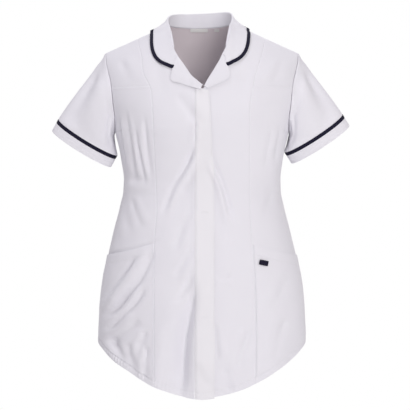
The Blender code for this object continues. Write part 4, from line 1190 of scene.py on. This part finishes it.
# Each row of stitches keeps its distance from the edge that is named with it.
sewn("hem_stitches",
     [g.line("foot", HEM_DEEP) for g in (RIGHT, LEFT, SIDE_R, SIDE_L, BACK, PLACKET)])
sewn("placket_stitches", [PLACKET.line("first", 2.6), PLACKET.line("last", 2.4)]
     + tack(*TACKS[0]) + tack(*TACKS[1]))
sewn("pocket_stitches", [g.line("top", POCKET_HEM) for g in (POCKET_R, POCKET_L)]
     + [g.line(edge, 2.0) for g in (POCKET_R, POCKET_L) for edge in ("first", "last")])
sewn("cuff_stitches", [g.line(edge, 2.2) for g in (CUFF_R, CUFF_L) for edge in ("top", "foot")])
sewn("yoke_stitches", [g.line("foot", 2.2) for g in (YOKE_R, YOKE_L)])
sewn("collar_stitches", [COLLAR.line("last", 2.0)])
sewn("lapel_stitches", [g.line("last", 2.6) for g in (LAPEL_R, LAPEL_L)])

# ==== stage, light and camera
FLOOR_Z = -1.30        # the floor under a standing wearer
FLOOR_HALF = 3.0
MIDDLE = (0.0, -0.1, -0.36)        # of the tunic, where the lamps aim
AMBIENT = 0.47         # strength of the even light from all round


def stage():
    mesh = bpy.data.meshes.new("floor")
    corners = [(x * FLOOR_HALF, y * FLOOR_HALF, FLOOR_Z)
               for x, y in ((-1, -1), (1, -1), (1, 1), (-1, 1))]
    mesh.from_pydata(corners, [], [(0, 1, 2, 3)])
    material, tree, shader = new_material("pale_floor")
    fill(tree, shader, {"Base Color": (0.86, 0.86, 0.86, 1.0), "Roughness": 0.9})
    mesh.materials.append(material)
    floor = bpy.data.objects.new("floor", mesh)
    bpy.context.scene.collection.objects.link(floor)


def lamp(name, location, size, power, colour):
    light = bpy.data.lights.new(name, "AREA")
    light.shape = "DISK"
    light.size = size
    light.energy = power
    light.color = colour
    obj = bpy.data.objects.new(name, light)
    obj.location = location
    obj.rotation_euler = (Vector(MIDDLE) - Vector(location)).to_track_quat("-Z", "Y").to_euler()
    bpy.context.scene.collection.objects.link(obj)


def world():
    """White to the camera and in reflections, a soft even light on the cloth."""
    made = bpy.data.worlds.new("studio")
    bpy.context.scene.world = made
    made.use_nodes = True
    tree = made.node_tree
    ambient = tree.nodes["Background"]
    fill(tree, ambient, {"Color": (1.0, 0.955, 0.985, 1.0), "Strength": AMBIENT})
    white = add(tree, "Background", {"Color": (1.0, 1.0, 1.0, 1.0)})
    path = add(tree, "LightPath", {}).outputs
    seen = path["Is Camera Ray"]
    for ray in ("Is Glossy Ray", "Is Transmission Ray"):
        seen = add(tree, "Math", {0: seen, 1: path[ray]}, operation="MAXIMUM").outputs[0]
    mix = add(tree, "MixShader", {"Fac": seen, 1: ambient.outputs[0], 2: white.outputs[0]})
    fill(tree, tree.nodes["World Output"], {"Surface": mix.outputs[0]})


stage()
world()
lamp("key", (0.95, -2.75, 0.2), 1.5, 34.2, (1.0, 0.98, 0.965))
lamp("fill", (-1.9, -2.4, 0.1), 1.8, 1.0, (0.60, 0.68, 1.0))
lamp("top", (-0.8, -0.25, 2.1), 0.8, 17.0, (0.95, 0.95, 1.0))
lamp("back", (0.4, 2.6, 1.4), 1.6, 34.0, (1.0, 1.0, 1.0))

# The camera stands 3.2 m in front, level with the middle of the tunic.
CAMERA_X, CAMERA_Y, CAMERA_Z = 0.00645, -3.2, -0.372
VIEW_WIDTH = 0.8815    # width of the view where the tunic hangs
data = bpy.data.cameras.new("camera")
data.sensor_width = 36.0
data.lens = data.sensor_width * abs(CAMERA_Y) / VIEW_WIDTH
camera = bpy.data.objects.new("camera", data)
camera.location = (CAMERA_X, CAMERA_Y, CAMERA_Z)
camera.rotation_euler = (np.pi / 2, 0.0, 0.0)
bpy.context.scene.collection.objects.link(camera)
bpy.context.scene.camera = camera
bpy.context.scene.view_settings.view_transform = "Standard"
